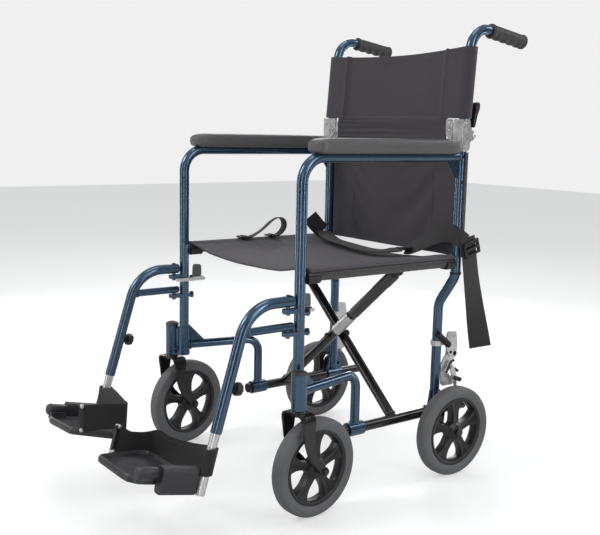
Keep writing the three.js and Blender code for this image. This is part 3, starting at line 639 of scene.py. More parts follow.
# ---------------------------------------------------------------- side frames
ARM_LINE = [(FRAME_X, FRONT_POST_Y, 226), (FRAME_X, FRONT_POST_Y, ARM_Z), (FRAME_X, REAR_POST_Y, ARM_Z)]
EAR_FEET = (403, 364.5)
side_frame = total([
    tube(ARM_LINE, TUBE_R, bend=50),
    tube([(FRAME_X, REAR_POST_Y, 738), (FRAME_X, REAR_POST_Y, 444), (LOWER_X, 412, 378), (LOWER_X, 412, 143)],
        TUBE_R, bend=45),
    tube([(FRAME_X, FRONT_POST_Y, LOWER_TUBE_Z), (LOWER_X, 177, LOWER_TUBE_Z), (LOWER_X, 177, 143)], 10,
        bend=30), tube([(FRAME_X, FRONT_POST_Y, 227), (FRAME_X, FRONT_POST_Y, 292)], 13.4),
    collar((STEM_X, STEM_Y, 224.5), UPWARD, 8.4, 15, 70.8, 36),
    plate([(FRAME_X + 2, -10), (STEM_X - 6, STEM_Y - 6), (STEM_X, STEM_Y + 8), (FRAME_X + 6, 2)], 234, 288,
        "z"), collar((LOWER_X, 157, RAIL_Z), REARWARD, 11.8, 15.2, 40, 36),
    collar((LOWER_X, 389, RAIL_Z), REARWARD, 11.8, 15.2, 46, 36),
    block(190, 200, 405, 419, 148, 171),
    holed_plate([(398, 178), (425, 178), (438, 164), (439, 143), (392, 143), (396, 162)], (426.5, 154), 4.2,
                LOWER_X - 3, LOWER_X + 3),
    plate([(410, 700), (376, 700), (410, 654)], FRAME_X - 2, FRAME_X + 2),
    loft([[Vector((224 + o, 4, 300)), Vector((224 + o, 4, 255)), Vector((214 + o, 46, 255))]
        for o in (-2.2, 2.2)]), weld((FRAME_X, 407, ARM_Z), REARWARD, TUBE_R),
    weld((FRAME_X - 5, 9, LOWER_TUBE_Z), (-0.23, 1, 0), 10),
    weld((LOWER_X, 177, 144), UPWARD, 10),
    weld((LOWER_X, 412, 145), UPWARD, TUBE_R),
    weld((FRAME_X, FRONT_POST_Y, 227.5), UPWARD, 12.6, 1.2),
    weld((FRAME_X, FRONT_POST_Y, 292), UPWARD, 12.0, 1.4),
] + [plate(soft([(FRAME_X - 7, 2), (FRAME_X + 7, 2), (FRAME_X + 7, 19), (FRAME_X - 7, 19)], 2, 0.2), z, z + 5,
    "z") for z in EAR_FEET])
LUG_OUTLINE = [(FRAME_X - 9, -38), (FRAME_X - 5, -43), (FRAME_X + 5, -43), (FRAME_X + 9, -38),
    (FRAME_X + 9, -8), (FRAME_X - 9, -8)]
for lug_top in (HANGER_Z - 14.5, STRUT_Z - 10.5):
    side_frame += holed_plate(LUG_OUTLINE, (FRAME_X, -32), 4.9, lug_top - 8, lug_top, "z")
pair("side_frame", side_frame, BLUE, "frame", bevel=0.5)

pair("axle_plate", plate(soft([(396, 172), (428, 172), (430, 128), (424, 86), (398, 86), (392, 128)], 2),
    197.6, 205), BLACK_STEEL, "frame")
ear_bolts = total([
    lathe((FRAME_X, 14.5, z - 3), UPWARD, [(0, 4.6), (3, 4.6), (3, 3), (8, 3), (8, 4.8), (10.5, 5),
        (12.6, 4.6), (13.8, 3)], 6) for z in EAR_FEET
])
post_bolt = bolt((FRAME_X + 11.2, REAR_POST_Y, 650), OUTWARD, 3.4, 3.4)
foot_rivet = lathe((LOWER_X - 3.6, 402, 154), OUTWARD, [(0, 3.4), (0.8, 3.4), (6.4, 3.4), (7.6, 2.4)], 20)
pair("frame_bolts", ear_bolts + post_bolt + foot_rivet, BLACK_PLASTIC, "frame", bevel=0.3)
pair("saddle_ring", collar((FRAME_X, REAR_POST_Y, 449), UPWARD, 11.2, 12.4, 5, 32)
     + bolt((FRAME_X + 12, REAR_POST_Y, 451.5), OUTWARD, 2.6, 3), BLACK_PLASTIC, "frame", bevel=0.3)

pair("caster_cap", lathe((STEM_X, STEM_Y, 295.6), UPWARD, [
    (0, 15.4), (1.2, 15.9), (2.6, 15.4), (4.6, 13.2), (6.3, 9.6), (7.4, 5.4), (7.8, 1.5),
], 40), SLATE, "frame", slot="black_plastic", bevel=0)


def cradle(y0, y1):
    """A saddle the seat rail drops into, with ribs."""
    profile = soft([(FRAME_X - 14.5, 479), (FRAME_X - 14.5, 466), (FRAME_X - 9, 462.4), (FRAME_X + 8, 462.4),
                    (FRAME_X + 13.6, 467), (FRAME_X + 13.6, 479)], 1, 0.12)
    body = plate(profile[2:] + profile[:2], y0, y1, "y")
    ribs = [block(FRAME_X - 15.5, FRAME_X - 13.5, y0 + k, y0 + k + 2, 464, 478)
        for k in (5, (y1 - y0) / 2, y1 - y0 - 7)]
    return total([body] + ribs)


pair("seat_cradle_front", cradle(7, 36), BLACK_PLASTIC, "frame")
pair("seat_cradle_rear", cradle(380, 404.5), BLACK_PLASTIC, "frame")


# ---------------------------------------------------------------- arm pads
MOULD_SEAM = 0.7


def arm_pad():
    """A moulded cushion: crowned top, rounded shoulders, a mould seam along each flank and tucked ends."""
    stations = [(16, 9, 720, 728.5), (17.5, 14, 716.5, 731.5), (21, 18.5, 713.5, 734.5), (28, 22, 711, 737.5),
                (42, 24.4, 709.8, 740), (70, 25, 709.6, 741), (210, 25, 709.6, 741.4), (350, 25, 709.6, 741),
                (376, 24.6, 709.8, 740.4), (390, 22.8, 710.6, 738.8), (397, 19.5, 712, 736.6),
                (400.6, 15, 714.4, 733.6), (402, 10, 717, 731)]
    loops = []
    for y, half, low, high in smooth_line(stations, 3):
        loop = []
        for k, a in enumerate(circle(40)):
            c, s = math.cos(a), math.sin(a)
            power = 0.46 if s > 0 else 0.4
            x = half * math.copysign(abs(c) ** 0.4, c)
            z = (high + low) / 2 + (high - low) / 2 * math.copysign(abs(s) ** power, s)
            if k in (0, 20):
                x += math.copysign(MOULD_SEAM, c)
            loop.append(Vector((FRAME_X + x, y, z)))
        loops.append(loop)
    return loft(loops)


pair("arm_pad", arm_pad(), PAD, "frame", bevel=0, subdivide=1, angle=70)

# ---------------------------------------------------------------- wheels
WHEEL_CENTRE = (0, 0, 0)
WHEEL_SIDES = 96
SPOKES = 5


def wheel_tyre():
    half = [(-12, 76.2), (-13.6, 80), (-14.6, 85), (-15, 90), (-14.4, 94.2), (-12.6, 97.4), (-9.6, 99.3),
        (-5, 99.9)]
    profile = half + [(0, WHEEL_R)] + [(-x, r) for x, r in reversed(half)]
    return lathe(WHEEL_CENTRE, OUTWARD, profile, WHEEL_SIDES, ring=True)


def tyre_marks():
    """Two fine mould lines round each side wall."""
    rings = []
    for x, r in [(-14.9, 87.6), (14.9, 87.6), (-13.9, 95.8), (13.9, 95.8)]:
        section = [(0.35 * math.sin(a), r + 0.45 * math.cos(a)) for a in circle(6)]
        rings.append(lathe((x, 0, 0), OUTWARD, section, WHEEL_SIDES, ring=True))
    return total(rings)


def wheel_rim():
    """Rim, hub and five flared spokes, each with a creased face."""
    shapes = [
        lathe(WHEEL_CENTRE, OUTWARD, both_flanks([(-13.6, 76), (-13.8, 73.5), (-12.8, 70), (-11, 68.6),
            (-4, 66.4)]) + [(9, 75.4), (-9, 75.4)], WHEEL_SIDES, ring=True),
        lathe(WHEEL_CENTRE, OUTWARD, both_flanks([(-16, 6.7), (-16, 13.5), (-14.6, 16), (-11, 18.5),
            (-9.5, 21.5)]), 48, ring=True),
        lathe((-17.6, 0, 0), OUTWARD, [(0, 6.9), (0.4, 9.6), (2, 10.2), (33.2, 10.2), (34.8, 9.6),
            (35.2, 6.9)], 32, ring=True), ]
    stations = [(16, 9.5, 10.2, 0.6), (24, 8.6, 10.4, 1.2), (34, 8.2, 10.2, 2.0), (44, 9.0, 9.8, 3.0),
        (53, 11.6, 9.6, 3.8), (60, 15.2, 9.8, 4.2), (65, 18.8, 10.2, 4.0), (69.5, 22.4, 10.8, 2.5)]
    for k in range(SPOKES):
        loops = []
        for r, half, depth, dip in stations:
            section = [(-half, depth * 0.72), (-half * 0.93, depth), (-half * 0.62, depth * 0.93),
                (0, depth - dip), (half * 0.62, depth * 0.93), (half * 0.93, depth), (half, depth * 0.72)]
            loop = [Vector((x, side, r)) for side, x in section] + [Vector((-x, side, r)) for side,
                x in reversed(section)]
            loops.append(loop)
        spoke = loft(loops)
        shapes.append(spoke.moved(Matrix.Rotation(2 * math.pi * k / SPOKES, 4, "X")))
    return total(shapes)


TYRE_SHAPE = wheel_tyre() + tyre_marks()
RIM_SHAPE = wheel_rim()
rear_place = Matrix.Translation(REAR_WHEEL)
pair("rear_tyre", TYRE_SHAPE.moved(rear_place), TYRE, "rear_wheel", bevel=0)
pair("rear_rim", RIM_SHAPE.moved(rear_place), RIM, "rear_wheel", bevel=0.7)
pair("rear_axle", lathe((191, REAR_WHEEL.y, REAR_WHEEL.z), OUTWARD, [
    (0, 8), (1.2, 9.2), (6, 9.2), (6, 6), (14.4, 6), (14.4, 9), (37, 9), (37, 6), (72.6, 6), (72.6, 9.4),
    (74, 9.9), (77.6, 9.6), (79.4, 7.8), (80, 4),
], 32), BLACK_STEEL, "frame", slot="silver_metal", bevel=0.4)

CASTER_WHEEL = Vector((STEM_X, STEM_Y + TRAIL, WHEEL_R))


def caster_fork():
    """One bent strip over the wheel whose legs sweep back to the axle, under a round crown boss."""
    cy = CASTER_WHEEL.y
    side = [(31, 86.5, cy - 2, cy + 2), (31, 88.5, cy - 7, cy + 6.5), (31, 94, cy - 10, cy + 9.5),
        (31, 102, cy - 13.5, cy + 8.5),
            (31, 112, cy - 23, cy), (30.8, 125, cy - 36, cy - 13), (30.6, 146, -25.5, -3.5),
            (30.4, 168, -32.5, -8.5),
            (30.2, 188, -35.5, -5.5), (30, 203, -38, -3.5), (29.2, 211, -39.5, -3.5), (26.5, 216, -40, -4),
            (20, 218.3, -39.5, -5), (0, 218.6, -38, -6)]
    stations = side + [(-x, z, a, b) for x, z, a, b in reversed(side[:-1])]
    loops = []
    for i, (x, z, front, rear) in enumerate(stations):
        ahead = stations[min(i + 1, len(stations) - 1)]
        behind = stations[max(i - 1, 0)]
        t = Vector((ahead[0] - behind[0], ahead[1] - behind[1])).normalized()
        n = Vector((-t.y, t.x)) * 2.7
        lip = 2.2
        loops.append([Vector((STEM_X + x + n.x * s, y, z + n.y * s)) for s, y in (
            (-1, front + lip), (-0.4, front), (0.4, front), (1, front + lip), (1, rear - lip), (0.4, rear),
            (-0.4, rear), (-1, rear - lip))])
    crown = lathe((STEM_X, STEM_Y, 212.5), UPWARD, [(0, 12), (1.5, 15), (8, 15.5), (10, 14.4), (11.6, 12),
        (11.6, 7.5)], 32)
    stem = lathe((STEM_X, STEM_Y, 222), UPWARD, [(0, 9.5), (2.2, 9.5), (2.2, 7.5), (60, 7.5)], 24)
    return loft(loops) + crown + stem


def caster_axle():
    return lathe((STEM_X - 39, CASTER_WHEEL.y, WHEEL_R), OUTWARD, [
        (0, 4.5), (1, 6.6), (4.6, 6.8), (4.6, 8.6), (5.8, 8.6), (5.8, 5.4), (14, 5.4), (14, 7.4), (64, 7.4),
        (64, 5.4), (72.2, 5.4), (72.2, 8.6), (73.4, 8.6), (73.4, 6.8), (77, 6.6), (78, 4.5)], 24)


FORK_SHAPE = caster_fork()
AXLE_SHAPE = caster_axle()
for side_name, swivel in SWIVEL.items():
    at_stem = Matrix.Translation((STEM_X, STEM_Y, 0)) @ Matrix.Rotation(swivel, 4,
        "Z") @ Matrix.Translation((-STEM_X, -STEM_Y, 0))
    at_wheel = at_stem @ Matrix.Translation(CASTER_WHEEL)
    for piece, shape, material, body, bevel in (
        ("caster_fork", FORK_SHAPE.moved(at_stem), BLACK_STEEL, "caster", 0.5),
        ("caster_axle", AXLE_SHAPE.moved(at_stem), BLACK_STEEL, "caster", 0.4),
        ("front_tyre", TYRE_SHAPE.moved(at_wheel), TYRE, "front_wheel", 0),
        ("front_rim", RIM_SHAPE.moved(at_wheel), RIM, "front_wheel", 0.7),
    ):
        own = shape if side_name == "left" else shape.mirrored()
        build(f"{piece}_{side_name}", own, material, f"{body}_{side_name}", bevel=bevel)


# ---------------------------------------------------------------- X-brace
def brace_half(side, y):
    foot = Vector((side * LOWER_X, y, RAIL_Z))
    top = Vector((-side * FRAME_X, y, SEAT_Z))
    along = (top - foot).normalized()
    return total([
        tube([(foot.x, 149, RAIL_Z), (foot.x, 503, RAIL_Z)], TUBE_R),
        tube([foot, top], TUBE_R),
        weld(foot + along * 13, along, TUBE_R),
        weld(top - along * 13, along, TUBE_R),
    ])


def rail_plugs(side):
    ends = [(side * LOWER_X, 149, RAIL_Z, -1), (side * LOWER_X, 503, RAIL_Z, 1),
        (-side * FRAME_X, 9, SEAT_Z, -1), (-side * FRAME_X, 404, SEAT_Z, 1)]
    return total([
        lathe((x, y, z), (0, way, 0), [(-2, 10), (0.01, 10), (0.01, 11.6), (1.6, 11.6), (3, 10), (3.4, 6)],
            28) for x, y, z, way in ends[:2]
    ] + [
        lathe((x, y - way * 0.2, z), (0, way, 0), [(-2, 8.5), (0.3, 8.5), (0.9, 7)], 28) for x, y, z,
        way in ends[2:]
    ])


build("brace_a", brace_half(1, BRACE_A_Y), BLACK_STEEL, "brace_a")
build("brace_b", brace_half(-1, BRACE_B_Y), BLACK_STEEL, "brace_b")
for side_sign, name in ((1, "a"), (-1, "b")):
    build(f"seat_rail_{name}", tube([(-side_sign * FRAME_X, 9, SEAT_Z), (-side_sign * FRAME_X, 404, SEAT_Z)],
        TUBE_R), RAIL_GREY_PAINTED_LIT, f"brace_{name}")
build("rail_plugs_a", rail_plugs(1), BLACK_PLASTIC, "brace_a", bevel=0.3)
build("rail_plugs_b", rail_plugs(-1), BLACK_PLASTIC, "brace_b", bevel=0.3)
B_FOOT = Vector((-LOWER_X, BRACE_B_Y, RAIL_Z))
B_TOP = Vector((FRAME_X, BRACE_B_Y, SEAT_Z))
B_RUN = B_TOP - B_FOOT
SLEEVE_FROM, SLEEVE_SHARE = 0.495, 0.125
SLEEVE_LENGTH = B_RUN.length * SLEEVE_SHARE
SHEATH_FROM, SHEATH_TO = 0.635, 0.95
SHEATH_LENGTH = B_RUN.length * (SHEATH_TO - SHEATH_FROM)
build("brace_sheath", lathe(B_FOOT + B_RUN * SHEATH_FROM, B_RUN, [
    (0, 11.2), (0.6, 11.8), (2.4, 12.6), (5, 12.9), (SHEATH_LENGTH - 3, 12.9), (SHEATH_LENGTH, 12.0),
    (SHEATH_LENGTH, 11.2), ], 36, ring=True), RAIL_GREY_PAINTED_LIT, "brace_b", bevel=0)
build("brace_sleeve", lathe(B_FOOT + B_RUN * SLEEVE_FROM, B_RUN, [
    (0, 11.4), (0, 12.6), (0.8, 13.2), (SLEEVE_LENGTH - 0.8, 13.2), (SLEEVE_LENGTH, 12.6),
    (SLEEVE_LENGTH, 11.4), ], 32, ring=True), SILVER, "brace_b", bevel=0.2)
build("brace_pivot_bolt", lathe((0, BRACE_B_Y - 18.5, CROSS_Z), REARWARD, [
    (0, 4.6), (0.8, 6), (3.4, 6.2), (3.4, 7.6), (4.6, 7.6), (4.6, 4.6), (62, 4.6), (62, 8), (63.2, 8),
    (63.2, 7), (67, 7), (68, 6), ], 24), BLACK_STEEL, "brace_a", slot="silver_metal", bevel=0.3)


# ---------------------------------------------------------------- cloth
SETTLING_FRAMES = 18


def free_past(margin, rate):
    """How free a column of cloth is: 0 within a margin of either edge, rising to 1 further in."""
    return lambda share: smooth_step((min(share, 1 - share) - margin) * rate)


def drape(grid, free, slack, cap, gravity=0.25, name="cloth"):
    """Lets a sheet settle. free(share across) is 0 where it is held, and no point moves further than cap."""
    rows, cols = len(grid), len(grid[0])
    verts = [placed(p) for row in grid for p in row]
    faces = [(i * cols + j, i * cols + j + 1, (i + 1) * cols + j + 1, (i + 1) * cols + j)
        for i in range(rows - 1) for j in range(cols - 1)]
    mesh = bpy.data.meshes.new(name)
    mesh.from_pydata(verts, [], faces)
    obj = bpy.data.objects.new(name, mesh)
    bpy.context.scene.collection.objects.link(obj)
    held = obj.vertex_groups.new(name="held")
    for i in range(rows):
        for j in range(cols):
            held.add([i * cols + j], 1.0 - free(j / (cols - 1)), "REPLACE")
    cloth = obj.modifiers.new("cloth", "CLOTH")
    settings = cloth.settings
    settings.quality = 6
    settings.mass = 0.25
    settings.tension_stiffness = 25
    settings.compression_stiffness = 25
    settings.bending_stiffness = 0.4
    settings.vertex_group_mass = "held"
    settings.shrink_min = -slack
    settings.effector_weights.gravity = gravity
    cloth.collision_settings.use_collision = False
    cloth.point_cache.frame_start = 1
    cloth.point_cache.frame_end = SETTLING_FRAMES + 2
    scene = bpy.context.scene
    for number in range(1, SETTLING_FRAMES + 1):
        scene.frame_set(number)
    settled = obj.evaluated_get(bpy.context.evaluated_depsgraph_get()).data
    moved = [(Vector(v.co) - ORIGIN) / MM for v in settled.vertices]
    scene.frame_set(1)
    bpy.data.objects.remove(obj)
    result = []
    for i in range(rows):
        line = []
        for j in range(cols):
            step = moved[i * cols + j] - grid[i][j]
            if step.length > cap:
                step *= cap / step.length
            line.append(grid[i][j] + step)
        result.append(line)
    return result


def ripple(x, y, scale, seed):
    return noise.noise(Vector((x * scale, y * scale, seed)))


def smooth_step(t):
    t = max(0.0, min(1.0, t))
    return t * t * (3 - 2 * t)


def seat_section(x_share, y_share):
    """A point of the seat cloth: x_share runs from one rail's outer face to the other's."""
    arc = 0.09
    y = SEAT_FRONT_Y + 1.5 + 390 * y_share
    if x_share < arc or x_share > 1 - arc:
        sign = -1 if x_share < arc else 1
        a = math.pi / 6 + math.pi / 3 * ((x_share if x_share < arc else 1 - x_share) / arc)
        return Vector((sign * (FRAME_X + 13.6 * math.cos(a)), y, SEAT_Z + 4.5 + 9.8 * math.sin(a)))
    x = FRAME_X * (2 * (x_share - arc) / (1 - 2 * arc) - 1)
    hang = 1 - (x / FRAME_X) ** 2
    fold = smooth_step(hang * 3)
    z = SEAT_Z + 14.3 - 16.5 * hang + fold * 1.2 * ripple(x, y, 0.010, 3.1) + fold * 0.3 * ripple(x, y, 0.05,
        8.4)
    tension = math.exp(-((abs(x) - 200) / 26) ** 2)
    z += tension * 0.5 * math.sin(y * 0.19 + 2 * ripple(x, y, 0.02, 1.0))
    return Vector((x, y, z))


SEAT_ROWS, SEAT_COLS = 84, 110
SEAT_LIFT = 1.9
seat_grid = [[seat_section(j / (SEAT_COLS - 1), i / (SEAT_ROWS - 1)) for j in range(SEAT_COLS)]
    for i in range(SEAT_ROWS)]
seat_grid = drape(seat_grid, free_past(0.11, 9), slack=0.002, cap=4.0)
seat_normals = surface_normals(seat_grid)


def up_facing(normal):
    return normal if normal.z >= 0 else -normal


def seam_across(grid, normals, row, first, last, lift, facing):
    return stitches([grid[row][j] for j in range(first, last)],
        [facing(normals[row][j]) for j in range(first, last)], lift)


def seam_along(grid, normals, col, lift, facing, first=0, last=None):
    last = last or len(grid)
    return stitches([grid[i][col] for i in range(first, last)],
        [facing(normals[i][col]) for i in range(first, last)], lift)


seat = shell(seat_grid, 3.4)
seat += sweep(seat_grid[0], 2.5, 10) + sweep(seat_grid[-1], 2.3, 10)
for row in (3, SEAT_ROWS - 4):
    seat += seam_across(seat_grid, seat_normals, row, 4, SEAT_COLS - 4, SEAT_LIFT, up_facing)
for col in (13, 15, SEAT_COLS - 16, SEAT_COLS - 14):
    seat += seam_along(seat_grid, seat_normals, col, SEAT_LIFT, up_facing)
seat_piece = build("seat_sling", seat, [SEAT_CLOTH, THREAD], None, bevel=0, angle=60)
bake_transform(seat_piece)


def wrap_line(half_span, tube_y, front, seam_x, belly):
    """The cloth's run seen from above: round one tube, across, and round the other tube."""
    radius = 13.6
    points = []
    if front:
        for k in range(9):
            t = k / 8
            points.append((seam_x + (half_span - seam_x) * t,
                tube_y - radius + 4.6 + belly * (1 - (seam_x / half_span) ** 2) * (1 - t)
                           + (2 * radius - 4.6) * smooth_step(t)))
        arc = (math.pi / 2, -math.pi / 2)
    else:
        arc = (-0.12 * math.pi, 0.86 * math.pi)
    for k in range(1, 14):
        a = arc[0] + (arc[1] - arc[0]) * k / 13
        points.append((half_span + radius * math.cos(a), tube_y + radius * math.sin(a)))
    last_x, last_y = points[-1]
    spans = 56
    across = []
    for k in range(1, spans):
        x = last_x * (1 - 2 * k / spans)
        across.append((x, last_y + belly * (1 - (x / last_x) ** 2)))
    return points + across + [(-x, y) for x, y in reversed(points)]


SLEEVE_STEP = 2.6


def back_sheet(levels, front, seam_x, belly, rows, top_sag=0.0, seed=1.0):
    """levels are (half span, tube y, z) from the bottom up."""
    grid = []
    for i in range(rows):
        t = i / (rows - 1)
        low, high = levels
        half_span, tube_y, z = [a + (b - a) * t for a, b in zip(low, high)]
        line = []
        for x, y in wrap_line(half_span, tube_y, front, seam_x, belly):
            middle = 1 - min(1.0, abs(x) / half_span) ** 2
            sag = top_sag * t * middle
            free = smooth_step(middle * 4)
            y += free * (0.4 * ripple(x, z * 0.35, 0.012, seed) + 0.12 * ripple(x, z, 0.04, seed + 5))
            lift = 0.0
            if front and y < tube_y:
                y -= SLEEVE_STEP * smooth_step((abs(x) - seam_x + 3) / 4)
                y -= 1.6 * math.exp(-((abs(x) - seam_x - 3) / 2.2) ** 2)
                y += 1.6 * math.exp(-((abs(x) - seam_x + 1) / 1.6) ** 2)
                lift = 2.4 * t ** 8 * math.exp(-((abs(x) - seam_x - 2) / 5) ** 2)
            line.append(Vector((x, y, z - sag + lift)))
        grid.append(line)
    return grid


def front_facing(normal):
    return normal if normal.y <= 0 else -normal


def cane_point(z):
    share = (z - CANE_FOOT.z) / (CANE_BEND.z - CANE_FOOT.z)
    return CANE_FOOT + (CANE_BEND - CANE_FOOT) * share


SEAM_LIMIT = 22
UPPER_HEM_ROW = 30
BACK_LIFT = 1.8


def nearest_column(grid, x):
    """The column of a back panel that runs closest to x, at least SEAM_LIMIT columns in from either end.

    On the lower panel column SEAM_LIMIT is about 137 from the centre, so asking for more still gives that.
    """
    row = grid[len(grid) // 2]
    middle = len(row) // 2
    side = range(middle, len(row) - SEAM_LIMIT) if x < 0 else range(SEAM_LIMIT, middle)
    return min(side, key=lambda j: abs(row[j].x - x))


upper_levels = [(*cane_point(z).xy, z) for z in (786, 934)]
upper_grid = back_sheet(upper_levels, True, 165, 11, 34, top_sag=7.5, seed=2.2)
UPPER_COLS = len(upper_grid[0])
upper_grid = drape(upper_grid, free_past(0.27, 8), slack=0.0006, cap=2.0, gravity=0.05, name="upper")
upper_normals = surface_normals(upper_grid)
upper = shell(upper_grid, 3.2)
upper += sweep(upper_grid[-1], 2.0, 8)
for x in (165, 161, -165, -161):
    upper += seam_along(upper_grid, upper_normals, nearest_column(upper_grid, x), BACK_LIFT, front_facing)
upper += seam_across(upper_grid, upper_normals, UPPER_HEM_ROW, 24, UPPER_COLS - 24, BACK_LIFT, front_facing)


def crease_band():
    """Loose cloth between the two panels, lying in soft horizontal folds."""
    grid = []
    rows, cols = 40, 60
    for i in range(rows):
        z = 740 + 56 * i / (rows - 1)
        line = []
        for j in range(cols):
            x = -187 + 374 * j / (cols - 1)
            middle = 1 - (x / 187) ** 2
            fold = 0.0
            for centre, depth, width, lean in ((748, 3.4, 4.0, 0.6), (759, 4.4, 4.6, -0.8),
                (771, 3.6, 4.2, 0.9), (782, 2.6, 3.6, -0.4)):
                line_z = centre + lean * 3 * math.sin(x * 0.011 + centre) + 2.0 * ripple(x, centre, 0.012,
                    4.0)
                strength = 0.55 + 0.45 * math.sin(x * 0.014 + centre * 1.7)
                fold += depth * strength * math.exp(-((z - line_z) / width) ** 2)
            y = 411.5 + 8 * middle + fold * 0.9 - 2.5 + 5 * smooth_step((z - 783) / 10)
            line.append(Vector((x, y, z)))
        grid.append(line)
    return grid


crease_grid = crease_band()
crease = shell(crease_grid, 2.6)
FAR = 999


def column_x(grid, x):
    """The mean x of the column that runs closest to x."""
    j = nearest_column(grid, x)
    return sum(row[j].x for row in grid) / len(grid)


def back_panel(name, shape, grid, cut_at, left_body, right_body):
    """One cloth panel in three parts: the outer two keep to their tubes, and the middle gets a mesh of its
    own.
    """
    cut = column_x(grid, cut_at)
    for label, low, high, body in (("", -cut, cut, left_body), ("_sleeve_left", cut, FAR, left_body),
                                   ("_sleeve_right", -FAR, -cut, right_body)):
        part = build(name + label, portion(shape, low, high), [BACK_CLOTH, THREAD], body, bevel=0, angle=60)
        if not label:
            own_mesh(part)


back_panel("back_upper", upper + crease, upper_grid, 165, "back_cane_left", "back_cane_right")

lower_grid = back_sheet([(FRAME_X, REAR_POST_Y, 489.5), (FRAME_X, REAR_POST_Y, 714)], False, 0, 8, 50,
    seed=6.6)
LOWER_COLS = len(lower_grid[0])
lower_grid = drape(lower_grid, free_past(0.17, 8), slack=0.0015, cap=4.0, gravity=0.1, name="lower")
lower_normals = surface_normals(lower_grid)
lower = shell(lower_grid, 3.2)
lower += sweep(lower_grid[0], 2.0, 8)
for x in (207, 203, -207, -203):
    lower += seam_along(lower_grid, lower_normals, nearest_column(lower_grid, x), BACK_LIFT, front_facing)
lower += seam_across(lower_grid, lower_normals, 3, 18, LOWER_COLS - 18, BACK_LIFT, front_facing)


def upper_edge():
    """The lower panel's neck between the hinge brackets."""
    grid = []
    for i in range(14):
        z = 708 + 34 * i / 13
        line = []
        for j in range(60):
            x = -204 + 408 * j / 59
            line.append(Vector((x, 422.5 + 8.2 * (1 - (x / 204) ** 2), z)))
        grid.append(line)
    return shell(grid, 2.8)


back_panel("back_lower", lower + upper_edge(), lower_grid, 203, "left_frame", "right_frame")


# ---------------------------------------------------------------- push handles and back hinges
cane = tube([CANE_FOOT, CANE_BEND, CANE_END], TUBE_R, bend=46)
cane += lathe((FRAME_X - 9, PIVOT_Y, PIVOT_Z), OUTWARD, [(0, 4.8), (0, 8), (0.8, 8.5), (17.2, 8.5), (18, 8),
    (18, 4.8)], 28, ring=True)
cane += plate(soft([(420, 760), (438, 757), (444, 752), (438, 772), (424, 786)], 1), FRAME_X - 6, FRAME_X + 6)
pair("upper_cane", cane, BLUE, "back_cane")


def grip():
    """A rubber grip: flange, finger grooves underneath, fine ribs round the top and a rolled end."""
    axis = (CANE_END - CANE_BEND).normalized()
    start = CANE_BEND + axis * (490 - CANE_BEND.y) / axis.y
    length = (CANE_END - start).length + 5
    d, across, up = axes_about(axis)
    down = Vector((0, 0, -1))
    loops = []
    steps = 90
    for k in range(steps + 1):
        s = length * k / steps
        end = min(1.0, (length - s) / 9)
        radius = 14.6 + 1.7 * math.exp(-((s - 4) / 3.5) ** 2) + 1.6 * math.exp(-((s - length + 8) / 5) ** 2)
        radius *= math.sqrt(max(0.08, 1 - (1 - end) ** 2)) if end < 1 else 1.0
        loop = []
        for a in circle(40):
            out = across * math.cos(a) + up * math.sin(a)
            below = smooth_step(out.dot(down) * 1.3 - 0.05)
            finger = 0.0
            rib = 0.0
            if 12 < s < length - 14:
                wave = 0.5 - 0.5 * math.cos((s - 12) / (length - 26) * 8 * math.pi)
                finger = below * 2.1 * wave - below * 0.6
                rib = (1 - below) * 0.35 * math.sin(s * 2 * math.pi / 3.4)
            loop.append(start + d * s + out * (radius + finger + rib))
        loops.append(loop)
    return loft(loops)


pair("grip", grip(), GRIP, "back_cane", bevel=0, angle=50)


def hinge_bracket():
    """A pressed channel with a socket round the post, a slanted flange just inboard of it, and rivets."""
    x0, x1 = FRAME_X - 14, FRAME_X + 14
    cheek = soft([(405, 718), (405, 784), (427, 784), (428, 764), (441, 758), (442, 742), (428, 736),
        (428, 718)], 2, 0.2)
    flange = soft([(x0 - 2.6, 784), (x0 - 21, 784), (x0 - 21, 753), (x0 - 2.6, 730)], 1, 0.1)
    return total([
        plate(cheek, x0, x0 + 2.6), plate(cheek, x1 - 2.6, x1),
        plate([(x0 + 1, 716), (x1 - 1, 716), (x1 - 1, 784), (x0 + 1, 784)], 404.2, 407, "y"),
        plate(flange, 402.9, 405.7, "y"), block(x0 - 4, x0 + 2, 405.6, 407.4, 738, 780),
        collar((FRAME_X, REAR_POST_Y, 716), UPWARD, 11.4, 13.2, 21, 32),
        bolt((x0 - 12, 402.9, 775), (0, -1, 0), 2.2, 2.2), bolt((x0 - 12, 402.9, 760), (0, -1, 0), 2.2, 2.2),
        bolt((FRAME_X, 404.2, 726), (0, -1, 0), 2.4, 2.4), bolt((x1, 413, 724), OUTWARD, 2.4, 2.4),
        bolt((x1, 413, 776), OUTWARD, 2.4, 2.4),
        lathe((FRAME_X - 19, PIVOT_Y, PIVOT_Z), OUTWARD,
            [(0, 3.6), (1, 5.4), (4.6, 5.4), (4.6, 4), (33.4, 4), (33.4, 5.4), (37, 5.4), (38, 3.6)], 24), ])


pair("back_hinge_bracket", hinge_bracket(), SILVER, "frame", bevel=0.5)
lever_outline = soft([(444, 768), (450, 766), (455, 792), (462, 806), (462, 818), (456, 822), (450, 816),
    (447, 800)], 2)
pair("back_release_lever", plate(lever_outline, FRAME_X - 7, FRAME_X + 7) + plate(
    [(449, 801), (455, 800), (456.6, 808), (451, 808)], FRAME_X - 8, FRAME_X + 8), BLACK_PLASTIC,
    "back_release", bevel=1.2)

